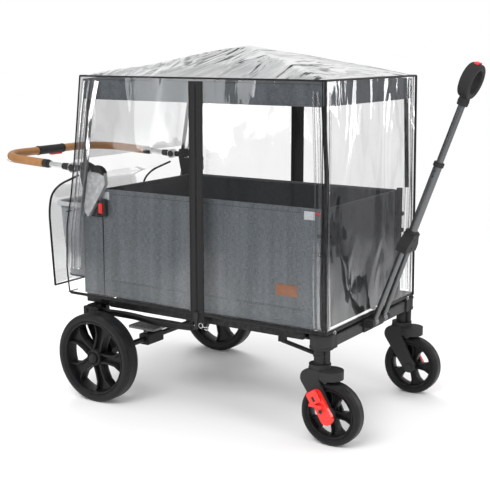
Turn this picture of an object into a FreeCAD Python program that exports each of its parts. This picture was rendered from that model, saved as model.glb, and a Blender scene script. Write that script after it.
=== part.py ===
"""Folding stroller wagon with a pull handle, a push bar, a canopy and a clear rain cover.

Frame: +X is forward, towards the pull handle, +Y is left and +Z is up.
The origin lies on the ground, below the middle of the tub.
Every sub-part is one labelled object, and each is written to parts/LABEL.step.
"""
import FreeCAD, Part
import math
import os

from FreeCAD import Placement, Rotation, Vector

SIDES = {"left": 1, "right": -1}
X_AXIS = Vector(1, 0, 0)
Y_AXIS = Vector(0, 1, 0)
Z_AXIS = Vector(0, 0, 1)

DIMENSIONS = {
    # wheels
    "rear_wheel_radius": 136, "rear_tyre_width": 58, "rear_rim_radius": 112, "rear_hub_radius": 27,
    "front_wheel_radius": 88, "front_tyre_width": 43, "front_rim_radius": 69, "front_hub_radius": 17,
    "tyre_shoulder": 9, "rim_wall": 11, "spoke_width": 24, "spoke_count": 5,
    "rear_axle_radius": 9, "front_axle_radius": 5, "running_gap": 0.05,
    "rear_axle_place": -334, "rear_wheel_side": 324,
    "swivel_place": 396, "swivel_side": 262, "caster_trail": 40, "fork_plate": 8, "fork_gap": 22.5,
    # tub and floor
    "tub_half_length": 378, "tub_half_width": 237, "tub_floor": 297, "tub_top": 632,
    "tub_cloth": 8, "end_cloth": 6, "floor_hinge_place": 335, "floor_hinge_height": 285,
    "rail_size": 20, "rail_side": 245, "middle_hinge_height": 275, "pad_half_width": 224,
    "pad_thickness": 21.5, "hinge_pin_radius": 4,
    # frame
    "post_tube_radius": 9, "bow_tube_radius": 6, "cross_tube_radius": 9, "link_thickness": 6,
    "link_width": 16, "link_length": 345, "beam_height": 34, "casting_radius": 32, "casting_top": 303,
    "post_outer_side": 240, "post_inner_side": 205,
    # cover and canopy
    "cover_half_width": 281, "cover_top": 972, "cover_bottom": 305, "cover_front_top": 411,
    "cover_front_bottom": 422, "cover_rear_top": -413, "cover_apex": 1064, "film": 1.2,
    "canopy_front": 402, "canopy_rear": -411, "canopy_half_width": 271, "canopy_top": 964, "canopy_apex": 1050,
    "valance_drop": 60, "canopy_cloth": 2, "band_width": 46, "band_centre": 5.5,
    # pull handle
    "pull_pivot_place": 440, "pull_pivot_height": 289, "pull_lean": 20.2, "fork_tube_radius": 8,
    "fork_tube_side": 29, "collar_along": 252, "lower_tube_radius": 12, "ring_along": 477,
    "upper_tube_radius": 9.5, "upper_start_along": 397, "grip_along": 690, "grip_length": 95,
    "grip_wall": 16, "grip_depth": 34,
    # push bar
    "push_pivot_place": -476, "push_pivot_height": 694, "push_lift": 3.1, "push_half_width": 252,
    "push_reach": 332, "push_corner_radius": 120, "push_tube_radius": 8.5, "push_grip_radius": 13,
    "push_grip_start": 120, "push_hub_radius": 15, "release_half_width": 62,
}

doc = FreeCAD.newDocument("StrollerWagon")
sheet = doc.addObject("Spreadsheet::Sheet", "Sizes")
parts = []


def cell(alias, value):
    """Put one plain number in the next row of the sheet, under its alias."""
    cell.row += 1
    sheet.set(f"A{cell.row}", alias)
    sheet.set(f"B{cell.row}", repr(round(value, 4)))
    sheet.setAlias(f"B{cell.row}", alias)


cell.row = 0
for dimension_name, dimension in DIMENSIONS.items():
    cell(dimension_name, dimension)
doc.recompute()


def mm(alias):
    """The number that the sheet holds under an alias."""
    return float(sheet.get(alias))


def bind(item, prop, alias):
    """Bind a size of an object to a cell of the sheet."""
    item.setExpression(prop, f"Sizes.{alias}")


def keep(item, label):
    """Give a finished sub-part its label and list it for writing."""
    item.Label = label
    parts.append(item)
    return item


def block(name, low, high):
    """A box between two corners, its three sides bound to cells of its own."""
    item = doc.addObject("Part::Box", name)
    sides = zip(("Length", "Width", "Height"), ("_long", "_wide", "_tall"), low, high)
    for prop, ending, start, end in sides:
        cell(name + ending, abs(end - start))
        bind(item, prop, name + ending)
    item.Placement.Base = Vector(*[min(start, end) for start, end in zip(low, high)])
    return item


def rod(name, start, end, radius):
    """A round rod between two points; its radius is an alias of the sheet."""
    start, end = Vector(*start), Vector(*end)
    item = doc.addObject("Part::Cylinder", name)
    cell(name + "_run", (end - start).Length)
    bind(item, "Height", name + "_run")
    bind(item, "Radius", radius)
    item.Placement = Placement(start, Rotation(Z_AXIS, end - start))
    return item


def disc(name, start, end, radius):
    """A round rod whose radius is a cell of its own."""
    cell(name + "_radius", radius)
    return rod(name, start, end, name + "_radius")


def plate(name, outline, low, high):
    """A flat plate: an outline of (x, z) points, run from low to high in y."""
    points = [Vector(x, low, z) for x, z in outline]
    item = doc.addObject("Part::Feature", name)
    item.Shape = Part.Face(Part.makePolygon(points + points[:1])).extrude(Vector(0, high - low, 0))
    return item


def fuse(name, items):
    """One solid of several overlapping objects."""
    item = doc.addObject("Part::MultiFuse", name)
    item.Shapes = items
    item.Refine = True
    return item


def cut(name, base, tool):
    """A base object with a tool taken out of it."""
    item = doc.addObject("Part::Cut", name)
    item.Base = base
    item.Tool = tool
    return item


def group(name, items):
    """Separate identical solids that share one sub-part."""
    item = doc.addObject("Part::Compound", name)
    item.Links = items
    return item


def rounded(name, base, radius, edge_test):
    """A base object with a fillet on the edges that pass a test."""
    doc.recompute()
    chosen = [n for n, edge in enumerate(base.Shape.Edges, 1) if edge_test(edge)]
    item = doc.addObject("Part::Fillet", name)
    item.Base = base
    item.Edges = [(n, radius, radius) for n in chosen]
    return item


def runs_along(axis):
    """A test for straight edges that run along an axis."""
    def test(edge):
        return edge.Curve.TypeId == "Part::GeomLine" and abs(edge.tangentAt(0).dot(axis)) > 0.99
    return test


def is_round(edge):
    """A test for circular edges."""
    return edge.Curve.TypeId == "Part::GeomCircle"


def origin_plane(body, role):
    """One of a body's own three base planes."""
    return next(plane for plane in body.Origin.OriginFeatures if plane.Role == role)


def sketch_on(body, name, role, outline):
    """A sketch of one closed outline of straight lines on a base plane of its own body."""
    sketch = body.newObject("Sketcher::SketchObject", name)
    sketch.AttachmentSupport = (origin_plane(body, role), [""])
    sketch.MapMode = "FlatFace"
    for (x1, y1), (x2, y2) in zip(outline, outline[1:] + outline[:1]):
        sketch.addGeometry(Part.LineSegment(Vector(x1, y1, 0), Vector(x2, y2, 0)), False)
    return sketch


def turned(body, name, outline):
    """A revolution of an (r, z) outline about the body's own Z axis."""
    profile = sketch_on(body, name + "_profile", "XZ_Plane", outline)
    turn = body.newObject("PartDesign::Revolution", name)
    turn.Profile = profile
    turn.ReferenceAxis = (profile, ["V_Axis"])
    turn.Angle = 360
    body.Tip = turn
    return turn


def extruded(body, name, role, outline, thickness):
    """A pad of an outline, symmetric about its base plane; the thickness is an alias."""
    profile = sketch_on(body, name + "_profile", role, outline)
    pad = body.newObject("PartDesign::Pad", name)
    pad.Profile = profile
    pad.SideType = "Symmetric"
    bind(pad, "Length", thickness)
    body.Tip = pad
    return pad


def wheel(name, radius, width, rim_radius, hub_radius, axle_radius, place):
    """A tyre and a spoked rim, turned about an axle along Y."""
    half = width / 2
    shoulder = mm("tyre_shoulder")
    turn_to_axle = Placement(place, Rotation(X_AXIS, 90))
    tyre = doc.addObject("PartDesign::Body", name + "_tyre")
    tyre_outline = [
        (rim_radius, 4 - half), (rim_radius + shoulder, -half), (radius - shoulder, -half),
        (radius - 2, shoulder / 2 - half), (radius, shoulder - half), (radius, half - shoulder),
        (radius - 2, half - shoulder / 2), (radius - shoulder, half), (rim_radius + shoulder, half),
        (rim_radius, half - 4),
    ]
    turned(tyre, name + "_tyre_turn", tyre_outline)
    tyre.Placement = turn_to_axle
    keep(tyre, name + "_tyre")

    rim = doc.addObject("PartDesign::Body", name + "_rim")
    bore = axle_radius + mm("running_gap")
    hub_half = half - 2
    wall = mm("rim_wall")
    turned(rim, name + "_hub", [(bore, -hub_half), (hub_radius, -hub_half), (hub_radius, hub_half),
                                (bore, hub_half)])
    spoke_half = mm("spoke_width") * rim_radius / mm("rear_rim_radius") / 2
    inner, outer = hub_radius - 3, rim_radius - wall + 3
    cell(name + "_spoke_depth", half)
    spoke = extruded(rim, name + "_spoke", "XY_Plane",
                     [(inner, -spoke_half), (outer, -spoke_half), (outer, spoke_half), (inner, spoke_half)],
                     name + "_spoke_depth")
    doc.recompute()
    pattern = rim.newObject("PartDesign::PolarPattern", name + "_spokes")
    pattern.Originals = [spoke]
    pattern.Axis = (spoke.Profile[0], ["N_Axis"])
    pattern.Angle = 360
    bind(pattern, "Occurrences", "spoke_count")
    rim.Tip = pattern
    doc.recompute()
    rim_edge = rim_radius - 0.2
    turned(rim, name + "_ring", [(rim_radius - wall, 4 - half), (rim_edge, 4 - half), (rim_edge, half - 4),
                                 (rim_radius - wall, half - 4)])
    rim.Placement = turn_to_axle
    keep(rim, name + "_rim")


def rear_running_gear():
    """Rear axle, its two wheels, the brake housing and the foot pedal."""
    axle_x, axle_z = mm("rear_axle_place"), mm("rear_wheel_radius")
    side = mm("rear_wheel_side")
    reach = side + mm("rear_tyre_width") / 2
    axle = rod("rear_axle_bar", (axle_x, -reach, axle_z), (axle_x, reach, axle_z), "rear_axle_radius")
    keep(axle, "rear_axle")
    for name, sign in SIDES.items():
        wheel("rear_" + name, mm("rear_wheel_radius"), mm("rear_tyre_width"), mm("rear_rim_radius"),
              mm("rear_hub_radius"), mm("rear_axle_radius"), Vector(axle_x, sign * side, axle_z))

    # The housing clamps the middle of the axle, and a lug on it holds the pedal's pin.
    pin_x, pin_z = axle_x - 2, axle_z + 25
    low_y, high_y = -100, -24
    shell = rounded("brake_shell", block("brake_block", (axle_x - 20, low_y, axle_z - 18),
                                         (axle_x + 20, high_y, axle_z + 17)), 6, runs_along(Y_AXIS))
    lug = block("brake_lug", (pin_x - 4, -72, axle_z + 15), (pin_x + 4, -52, pin_z + 2))
    pin = disc("pedal_pin", (pin_x, -96, pin_z), (pin_x, -28, pin_z), 3.5)
    channel = disc("axle_channel", (axle_x, low_y - 5, axle_z), (axle_x, high_y + 5, axle_z),
                   mm("rear_axle_radius"))
    keep(cut("brake_housing_cut", fuse("brake_solid", [shell, lug, pin]), channel), "brake_housing")
    pad = rounded("pedal_plate", block("pedal_block", (pin_x - 61, -105, pin_z + 6),
                                        (pin_x + 45, -20, pin_z + 13)),
                  9, runs_along(Z_AXIS))
    cheeks = []
    for n, start in enumerate((-92, -40)):
        cheeks.append(disc(f"pedal_cheek_{n}", (pin_x, start, pin_z), (pin_x, start + 8, pin_z), 6.5))
        cheeks.append(block(f"pedal_web_{n}", (pin_x - 6, start, pin_z), (pin_x + 6, start + 8, pin_z + 8)))
    bore = disc("pedal_bore", (pin_x, -110, pin_z), (pin_x, -10, pin_z), 3.6)
    keep(cut("pedal_cut", fuse("pedal_solid", [pad, *cheeks]), bore), "brake_pedal")


def front_running_gear():
    """Two casters: a fork with its axle, the wheel in it and a red lever that locks it."""
    swivel_x, side = mm("swivel_place"), mm("swivel_side")
    hub_x, hub_z = swivel_x + mm("caster_trail"), mm("front_wheel_radius")
    gap, thick = mm("fork_gap"), mm("fork_plate")
    knee = Vector(swivel_x - 18, 0, 184)
    hub = Vector(hub_x, 0, hub_z)
    for name, sign in SIDES.items():
        y = sign * side
        wheel("front_" + name, mm("front_wheel_radius"), mm("front_tyre_width"), mm("front_rim_radius"),
              mm("front_hub_radius"), mm("front_axle_radius"), Vector(hub_x, y, hub_z))
        pieces = []
        for n, low in enumerate((y - gap - thick, y + gap)):
            pieces.append(leg(f"fork_{name}_{n}", knee, 26, hub, 19, low, low + thick))
        outer = gap + thick
        pieces.append(block(f"crown_{name}", (swivel_x - 26, y - outer, 186),
                            (swivel_x + 30, y + outer, 208)))
        pieces.append(disc(f"fender_{name}", (hub_x - 8, y, 184), (hub_x - 8, y, 208), 36))
        pieces.append(disc(f"swivel_{name}", (swivel_x, y, 206), (swivel_x, y, 221.5), 30))
        pieces.append(rod(f"fork_axle_{name}", (hub_x, y - outer, hub_z), (hub_x, y + outer, hub_z),
                          "front_axle_radius"))
        kingpin = disc(f"kingpin_bore_{name}", (swivel_x, y, 196), (swivel_x, y, 225), 6.05)
        keep(cut(f"fork_{name}", fuse(f"fork_solid_{name}", pieces), kingpin), f"caster_fork_{name}")

        # The lever lies on the outer leg and slides along it.
        face = y + sign * (outer + 0.4)
        low, high = sorted((face, face + sign * 11))
        along = (hub - knee).normalize()
        head, foot = knee + along * 50, knee + along * 117
        lever = leg(f"lever_{name}", head, 17.5, foot, 18.5, low, high)
        ridge_low, ridge_high = sorted((face + sign * 4, face + sign * 20))
        middle = (head + foot) * 0.5
        ridge = block(f"lever_ridge_{name}", (middle.x - 31, ridge_low, middle.z + 1),
                      (middle.x + 8, ridge_high, middle.z + 8))
        keep(fuse(f"lock_{name}", [lever, ridge]), f"wheel_lock_{name}")


def leg(name, top, top_radius, foot, foot_radius, low, high):
    """A flat leg across y with a round head and a round foot, joined by their tangents."""
    run = Vector(foot.x - top.x, 0, foot.z - top.z)
    span = run.Length
    heading = math.atan2(run.z, run.x)
    lean = math.acos((top_radius - foot_radius) / span)
    outline = []
    for centre, radius, turn in ((top, top_radius, lean), (foot, foot_radius, lean),
                                 (foot, foot_radius, -lean), (top, top_radius, -lean)):
        outline.append((centre.x + radius * math.cos(heading + turn),
                        centre.z + radius * math.sin(heading + turn)))
    web = plate(name + "_web", outline, low, high)
    head = disc(name + "_head", (top.x, low, top.z), (top.x, high, top.z), top_radius)
    end = disc(name + "_foot", (foot.x, low, foot.z), (foot.x, high, foot.z), foot_radius)
    return fuse(name, [web, head, end])


def mirrored_pair(name, build):
    """A group of the left and right copies of one piece."""
    return group(name, [build(side, sign) for side, sign in SIDES.items()])


def sides_of(sign, inner, outer):
    """The low and high y of a piece between two distances from the middle plane."""
    return sorted((sign * inner, sign * outer))


def rear_frame():
    """Posts, cross tubes, legs with hinge lugs, and the brackets that carry the push bar."""
    inner, outer = mm("post_inner_side"), mm("post_outer_side")
    hinge_x, hinge_z = -mm("floor_hinge_place"), mm("floor_hinge_height")

    def post(side, sign):
        low, high = sides_of(sign, inner, outer)
        return rounded(f"post_{side}_round", block(f"post_{side}", (-450, low, 277), (-383, high, 552.5)), 9,
                       runs_along(Z_AXIS))
    keep(mirrored_pair("posts", post), "rear_posts")

    tubes = [rod(f"rear_cross_{n}", (x, 0.2 - inner, z), (x, inner - 0.2, z), "cross_tube_radius")
             for n, (x, z) in enumerate(((-400, 287), (-400, 540)))]
    keep(group("cross_tubes", tubes), "rear_cross_tubes")

    def rear_leg(side, sign):
        axle_x, axle_z = mm("rear_axle_place"), mm("rear_wheel_radius")
        low, high = sides_of(sign, 267, 289)
        outline = [(-418, 276), (-360, 276), (-360, 243), (-308, 155), (-308, 117), (-356, 117), (-418, 240)]
        side_plate = rounded(f"leg_{side}_round", plate(f"leg_{side}", outline, low, high), 5,
                             runs_along(Y_AXIS))
        low, high = sides_of(sign, inner, 270)
        shoe = block(f"leg_shoe_{side}", (-418, low, 241), (-385, high, 276))
        low, high = sides_of(sign, 228, 234)
        lug = block(f"leg_lug_{side}", (-382.5, low, 272), (hinge_x + 9, high, 294))
        link_pin = rod(f"link_pin_{side}", (-371, sign * 270, 258), (-371, sign * 255.5, 258),
                       "hinge_pin_radius")
        floor_pin = rod(f"floor_pin_{side}", (hinge_x, sign * 230, hinge_z), (hinge_x, sign * 255.5, hinge_z),
                        "hinge_pin_radius")
        # A tongue joins the lug to the shoe under the foot of the post.
        low, high = sides_of(sign, 226, 236)
        tongue = block(f"leg_tongue_{side}", (-400, low, 262), (-372, high, 276))
        bore = rod(f"leg_bore_{side}", (axle_x, sign * 260, axle_z), (axle_x, sign * 300, axle_z),
                   "rear_axle_radius")
        whole = fuse(f"leg_solid_{side}", [side_plate, shoe, lug, link_pin, floor_pin, tongue])
        return cut(f"leg_cut_{side}", whole, bore)
    keep(mirrored_pair("legs", rear_leg), "rear_legs")

    def bracket(side, sign):
        low, high = sides_of(sign, 243, 258)
        outline = [(-432, 685.5), (-350, 685.5), (-347, 650), (-385, 592), (-417, 546), (-429, 560)]
        return rounded(f"bracket_{side}_round", plate(f"bracket_{side}", outline, low, high), 4,
                       runs_along(Y_AXIS))
    keep(mirrored_pair("brackets", bracket), "handle_brackets")

    def cap(side, sign):
        pivot_x, pivot_z = mm("push_pivot_place"), mm("push_pivot_height")
        low, high = sides_of(sign, 241, 262)
        top = rounded(f"cap_{side}_round", block(f"cap_{side}", (-458, low, 686), (-350, high, 707.5)), 6,
                      runs_along(Y_AXIS))
        low, high = sides_of(sign, 236, 241.5)
        cheek = block(f"cap_cheek_{side}", (pivot_x - 9, low, pivot_z - 9), (-400, high, pivot_z + 9))
        pin = rod(f"push_pin_{side}", (pivot_x, sign * 238, pivot_z), (pivot_x, sign * 262, pivot_z),
                  "front_axle_radius")
        low, high = sides_of(sign, 240.5, 256)
        outline = [(-376, 602), (-351, 602), (-351, 548), (-411, 548)]
        housing = plate(f"latch_housing_{side}", outline, low, high)
        low, high = sides_of(sign, 247, 262)
        pocket = block(f"latch_pocket_{side}", (-375, low, 561), (-359, high, 593))
        black = fuse(f"cap_solid_{side}", [top, cheek, pin])
        return group(f"cap_group_{side}", [black, cut(f"latch_cut_{side}", housing, pocket)])
    keep(mirrored_pair("caps", cap), "bracket_caps")

    for side, sign in SIDES.items():
        low, high = sides_of(sign, 250.5, 259)
        keep(block(f"latch_{side}", (-374, low, 562), (-360, high, 592)), f"fold_latch_{side}")


def front_frame():
    """Castings with their kingpins, the cross beam, the posts, the braces and the handle's mount."""
    swivel_x, side_y = mm("swivel_place"), mm("swivel_side")
    hinge_x, hinge_z = mm("floor_hinge_place"), mm("floor_hinge_height")
    casting_top = mm("casting_top")

    def casting(side, sign):
        low, high = sides_of(sign, 224.2, 258)
        heel = block(f"casting_heel_{side}", (372, low, 262), (428, high, 297))
        drum_radius = mm("casting_radius")
        centre_y = sign * 258
        drum = disc(f"casting_drum_{side}", (swivel_x + 2, centre_y, 262),
                    (swivel_x + 2, centre_y, casting_top), drum_radius)
        post_y = sign * side_y
        post = disc(f"caster_post_{side}", (swivel_x, post_y, 222), (swivel_x, post_y, 264), 17)
        lock = disc(f"swivel_lock_{side}", (swivel_x + 22, post_y, 224), (swivel_x + 22, post_y, 264), 8)
        kingpin = disc(f"kingpin_{side}", (swivel_x, post_y, 197), (swivel_x, post_y, 224), 6)
        low, high = sides_of(sign, 228, 234)
        lug = block(f"casting_lug_{side}", (hinge_x - 9, low, 272), (374, high, 294))
        floor_pin = rod(f"front_floor_pin_{side}", (hinge_x, sign * 230, hinge_z),
                        (hinge_x, sign * 255.5, hinge_z), "hinge_pin_radius")
        return fuse(f"casting_{side}", [heel, drum, post, lock, kingpin, lug, floor_pin])
    keep(mirrored_pair("castings", casting), "corner_castings")

    beam = rounded("beam_round", block("beam", (384, -224, 262), (424, 224, 262 + mm("beam_height"))), 6,
                   runs_along(Y_AXIS))
    keep(beam, "front_beam")

    def post(side, sign):
        return rod(f"front_post_{side}", (392, sign * 228, casting_top + 0.1),
                   (392, sign * 228, 640), "post_tube_radius")
    keep(mirrored_pair("front_post_pair", post), "front_posts")

    def brace(side, sign):
        tube = disc(f"brace_{side}", (376, sign * 248, 241), (268, sign * 246, 261), 6)
        foot = block(f"brace_foot_{side}", (258, *sides_of(sign, 240, 252)[:1], 258),
                     (280, sides_of(sign, 240, 252)[1], 273.5))
        return fuse(f"brace_solid_{side}", [tube, foot])
    keep(mirrored_pair("braces", brace), "front_braces")

    pivot_x, pivot_z = mm("pull_pivot_place"), mm("pull_pivot_height")
    pieces = [block("mount_plate", (424, -62, 264), (427.5, 62, 300))]
    for n, (low, high) in enumerate(((-56, -43), (-15, 15), (43, 56))):
        pieces.append(block(f"mount_lug_{n}", (426, low, pivot_z - 12), (pivot_x, high, pivot_z + 11)))
        pieces.append(disc(f"mount_eye_{n}", (pivot_x, low, pivot_z), (pivot_x, high, pivot_z), 12))
    pieces.append(rod("pull_pin", (pivot_x, -60, pivot_z), (pivot_x, 60, pivot_z), "front_axle_radius"))
    keep(fuse("mount_solid", pieces), "handle_mount")


def floor():
    """Two floor halves that hinge together at the middle, their pads, and the lower links."""
    size = mm("rail_size")
    hinge_x, hinge_z = mm("floor_hinge_place"), mm("floor_hinge_height")
    middle_z = mm("middle_hinge_height")
    rail_y = mm("rail_side")
    pin_bore = mm("hinge_pin_radius") + mm("running_gap")
    for half, end in (("rear", -1), ("front", 1)):
        own, other = (-9, -1) if half == "rear" else (1, 9)
        facing = (0, 10) if half == "rear" else (-10, 0)
        pieces, tools = [], []
        for side, sign in SIDES.items():
            name = f"{half}_{side}"
            low, high = sides_of(sign, rail_y - size / 2, rail_y + size / 2)
            pieces.append(block(f"rail_{name}", (end * 0.4, low, hinge_z - size / 2),
                                (end * hinge_x, high, hinge_z + size / 2)))
            pieces.append(disc(f"rail_end_{name}", (end * hinge_x, low, hinge_z), (end * hinge_x, high, hinge_z),
                               size / 2))
            tools.append(disc(f"rail_bore_{name}", (end * hinge_x, low - 1, hinge_z),
                              (end * hinge_x, high + 1, hinge_z), pin_bore))
            knuckle = [sign * (rail_y + y) for y in (own, other)]
            relief = sorted(sign * (rail_y + y) for y in facing)
            pieces.append(disc(f"knuckle_{name}", (0, knuckle[0], middle_z), (0, knuckle[1], middle_z), 6))
            tools.append(disc(f"relief_{name}", (0, relief[0], middle_z), (0, relief[1], middle_z), 6.6))
            if half == "front":
                tools.append(disc(f"knuckle_bore_{side}", (0, sign * (rail_y - 0.5), middle_z),
                                  (0, sign * (rail_y + 10.5), middle_z), 3.05))
        for n, x in enumerate((40, 170, 300)):
            pieces.append(disc(f"{half}_floor_cross_{n}", (end * x, -rail_y, 283), (end * x, rail_y, 283), 6))
        half_width = mm("pad_half_width")
        pieces.append(block(f"{half}_board", (end * 0.5, -half_width, 288), (end * 342, half_width, 298)))
        frame = cut(f"{half}_floor_cut", fuse(f"{half}_floor_solid", pieces), fuse(f"{half}_floor_tools", tools))
        if half == "rear":
            pins = [disc(f"middle_pin_{side}", (0, sign * (rail_y - 8), middle_z),
                         (0, sign * (rail_y + 9), middle_z), 3)
                    for side, sign in SIDES.items()]
            frame = fuse("rear_floor_pinned", [frame, *pins])
        keep(frame, f"floor_frame_{half}")
        top = 298.3 + mm("pad_thickness")
        pad = block(f"{half}_pad", (end * 6, -half_width, 298.3), (end * 342, half_width, top))
        keep(rounded(f"{half}_pad_round", pad, 8, runs_along(Z_AXIS)), f"floor_pad_{half}")

    def link(side, sign):
        low, high = sides_of(sign, 257, 257 + mm("link_thickness"))
        start, end = Vector(-371, 0, 258), Vector(mm("link_length") - 371, 0, 258)
        radius = mm("link_width") / 2
        bar = leg(f"link_{side}", start, radius, end, radius - 0.01, low, high)
        bore = disc(f"link_bore_{side}", (start.x, low - 1, start.z), (start.x, high + 1, start.z), pin_bore)
        return cut(f"link_cut_{side}", bar, bore)
    keep(mirrored_pair("links", link), "lower_links")


def tub():
    """The four cloth walls of the tub and the basket behind it."""
    half, top, floor_z = mm("tub_half_length"), mm("tub_top"), mm("tub_floor")
    outer, inner = mm("tub_half_width"), mm("tub_half_width") - mm("tub_cloth")
    end_cloth = mm("end_cloth")
    side_foot = mm("casting_top") + 0.5
    for side, sign in SIDES.items():
        low, high = sides_of(sign, inner, outer)
        keep(block(f"tub_wall_{side}", (-half + 3, low, side_foot), (half + 2, high, top)), f"tub_side_{side}")
    for end, sign in (("rear", -1), ("front", 1)):
        low, high = sides_of(sign, half - 1.8, half - 1.8 + end_cloth)
        keep(block(f"tub_wall_{end}", (low, 1.5 - inner, floor_z), (high, inner - 1.5, top)), f"tub_{end}_wall")

    outline = [(-455, 576), (-585, 576), (-588, 566), (-552, 345), (-455, 345)]
    cavity = [(-459, 590), (-581, 590), (-584, 566), (-548.5, 349), (-459, 349)]
    shell = plate("basket_shell", outline, -222, 222)
    hollow = plate("basket_hollow", cavity, -218, 218)
    keep(cut("basket_cut", shell, hollow), "rear_basket")


def pyramid(name, low_x, high_x, half_y, base_z, apex_z):
    """A solid four-sided roof over a rectangle."""
    corners = [Vector(low_x, -half_y, base_z), Vector(high_x, -half_y, base_z),
               Vector(high_x, half_y, base_z), Vector(low_x, half_y, base_z)]
    apex = Vector((low_x + high_x) / 2, 0, apex_z)
    faces = [Part.Face(Part.makePolygon(corners[::-1] + corners[-1:]))]
    for start, end in zip(corners, corners[1:] + corners[:1]):
        faces.append(Part.Face(Part.makePolygon([start, end, apex, start])))
    item = doc.addObject("Part::Feature", name)
    item.Shape = Part.Solid(Part.Shell(faces))
    return item


def roof(name, low_x, high_x, half_y, base_z, apex_z, wall):
    """A hollow four-sided roof whose inner faces run parallel to its outer ones."""
    share = 1 - wall / (apex_z - base_z)
    middle = (low_x + high_x) / 2
    reach = (high_x - low_x) / 2 * share
    outer = pyramid(name + "_outer", low_x, high_x, half_y, base_z, apex_z)
    inner = pyramid(name + "_inner", middle - reach, middle + reach, half_y * share, base_z - 0.001,
                    apex_z - wall)
    return cut(name + "_shell", outer, inner)


def canopy():
    """Two bows of straight tube, cross ribs, and the cloth roof with its valance."""
    rear_x, front_x, half_y = mm("canopy_rear"), mm("canopy_front"), mm("canopy_half_width")
    top, cloth = mm("canopy_top"), mm("canopy_cloth")
    for end, foot, head in (("rear", (-430, 250, 708), (-393, 257, 955)),
                            ("front", (406, 248, 641), (390, 257, 955))):
        tubes = []
        for side, sign in SIDES.items():
            start = (foot[0], sign * foot[1], foot[2])
            stop = (head[0], sign * head[1], head[2])
            tubes.append(rod(f"{end}_pole_{side}", start, stop, "bow_tube_radius"))
        bar = head[1] - mm("bow_tube_radius") - 0.3
        tubes.append(rod(f"{end}_bow_top", (head[0], -bar, head[2] - 7), (head[0], bar, head[2] - 7),
                         "bow_tube_radius"))
        keep(group(f"{end}_bow", tubes), f"{end}_canopy_bow")

    ribs = [disc("rib_hub", (0, 0, 1026), (0, 0, 1036), 12)]
    for end, end_x in (("rear", -377), ("front", 375)):
        for side, sign in SIDES.items():
            ribs.append(disc(f"rib_{side}_{end}", (end_x, sign * 249, 955), (0, 0, 1032), 3))
    keep(fuse("ribs", ribs), "canopy_ribs")

    hem = top - mm("valance_drop")
    wall = plate("valance_outer", [(rear_x, hem), (front_x, hem), (front_x, top), (rear_x, top)],
                 -half_y, half_y)
    inner_rear, inner_front = rear_x + cloth, front_x - cloth
    room = plate("valance_inner", [(inner_rear, hem - 5), (inner_front, hem - 5), (inner_front, top + 5),
                                   (inner_rear, top + 5)], cloth - half_y, half_y - cloth)
    cloth_roof = roof("canopy_roof", rear_x, front_x, half_y, top, mm("canopy_apex"), cloth)
    keep(fuse("canopy_solid", [cut("valance", wall, room), cloth_roof]), "canopy")


def rain_cover():
    """Clear film panes with zipper bands in both sides and a pouch over the basket."""
    side_y, film = mm("cover_half_width"), mm("film")
    top, bottom = mm("cover_top"), mm("cover_bottom")
    front_top, front_bottom, rear_top = mm("cover_front_top"), mm("cover_front_bottom"), mm("cover_rear_top")
    centre, half_band = mm("band_centre"), mm("band_width") / 2
    keep(roof("cover_roof", rear_top, front_top, side_y, top, mm("cover_apex"), 1.6), "cover_roof")

    outline = [(rear_top, top - 0.3), (-429, 842), (-445, 720), (-462, 613), (-475, 555), (-483, 512),
               (-488, 386), (-480, bottom), (front_bottom, bottom), (front_top, top - 0.3)]
    slot = [(centre - half_band - 0.5, bottom - 5), (centre + half_band + 0.5, bottom - 5),
            (centre + half_band + 0.5, 965), (centre - half_band - 0.5, 965)]
    for side, sign in SIDES.items():
        low, high = sides_of(sign, side_y - film, side_y)
        pane = plate(f"pane_{side}", outline, low, high)
        gap = plate(f"pane_slot_{side}", slot, low - 1, high + 1)
        keep(cut(f"pane_cut_{side}", pane, gap), f"cover_side_{side}")

    inside = side_y - film - 0.3
    front = [(front_top - film, top - 0.3), (front_top, top - 0.3), (front_bottom, bottom),
             (front_bottom - film, bottom)]
    keep(plate("front_pane", front, -inside, inside), "cover_front")
    rear = [(rear_top, top - 0.3), (rear_top + film, top - 0.3), (-445 + film, 722), (-445, 722)]
    strips = [block(f"rear_strip_{side}", (-486, sides_of(sign, 236.5, inside)[0], 309),
                    (-486 + film, sides_of(sign, 236.5, inside)[1], 560)) for side, sign in SIDES.items()]
    keep(group("rear_panes", [plate("rear_pane", rear, -inside, inside), *strips]), "cover_rear")

    curve = [(-472, 668), (-552, 634), (-588, 600), (-599, 546), (-592, 430), (-584, 309)]
    hollow = [(-469, 665), (-551, 632), (-586.4, 599), (-597.4, 546), (-590.4, 430), (-582.4, 305),
              (-469, 305)]
    pouch = plate("pouch_outer", curve + [(-472, 309)], -235, 235)
    keep(cut("pouch_cut", pouch, plate("pouch_room", hollow, -240, 240)), "cover_pouch")

    bands, sliders = [], {}
    for side, sign in SIDES.items():
        low, high = sides_of(sign, 279.5, 282.5)
        bands.append(block(f"band_{side}", (centre - half_band, low, 282), (centre + half_band, high, 964)))
        low, high = sides_of(sign, 282.8, 289)
        body = block(f"slider_body_{side}", (centre - 7, low, 292), (centre + 7, high, 312))
        pull = block(f"slider_pull_{side}", (centre - 4, low, 262),
                     (centre + 4, high - 3 if sign > 0 else high, 294))
        sliders[side] = fuse(f"slider_{side}", [body, pull])
    keep(group("bands", bands), "zipper_bands")
    for side, slider in sliders.items():
        keep(slider, f"zipper_slider_{side}")


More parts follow.
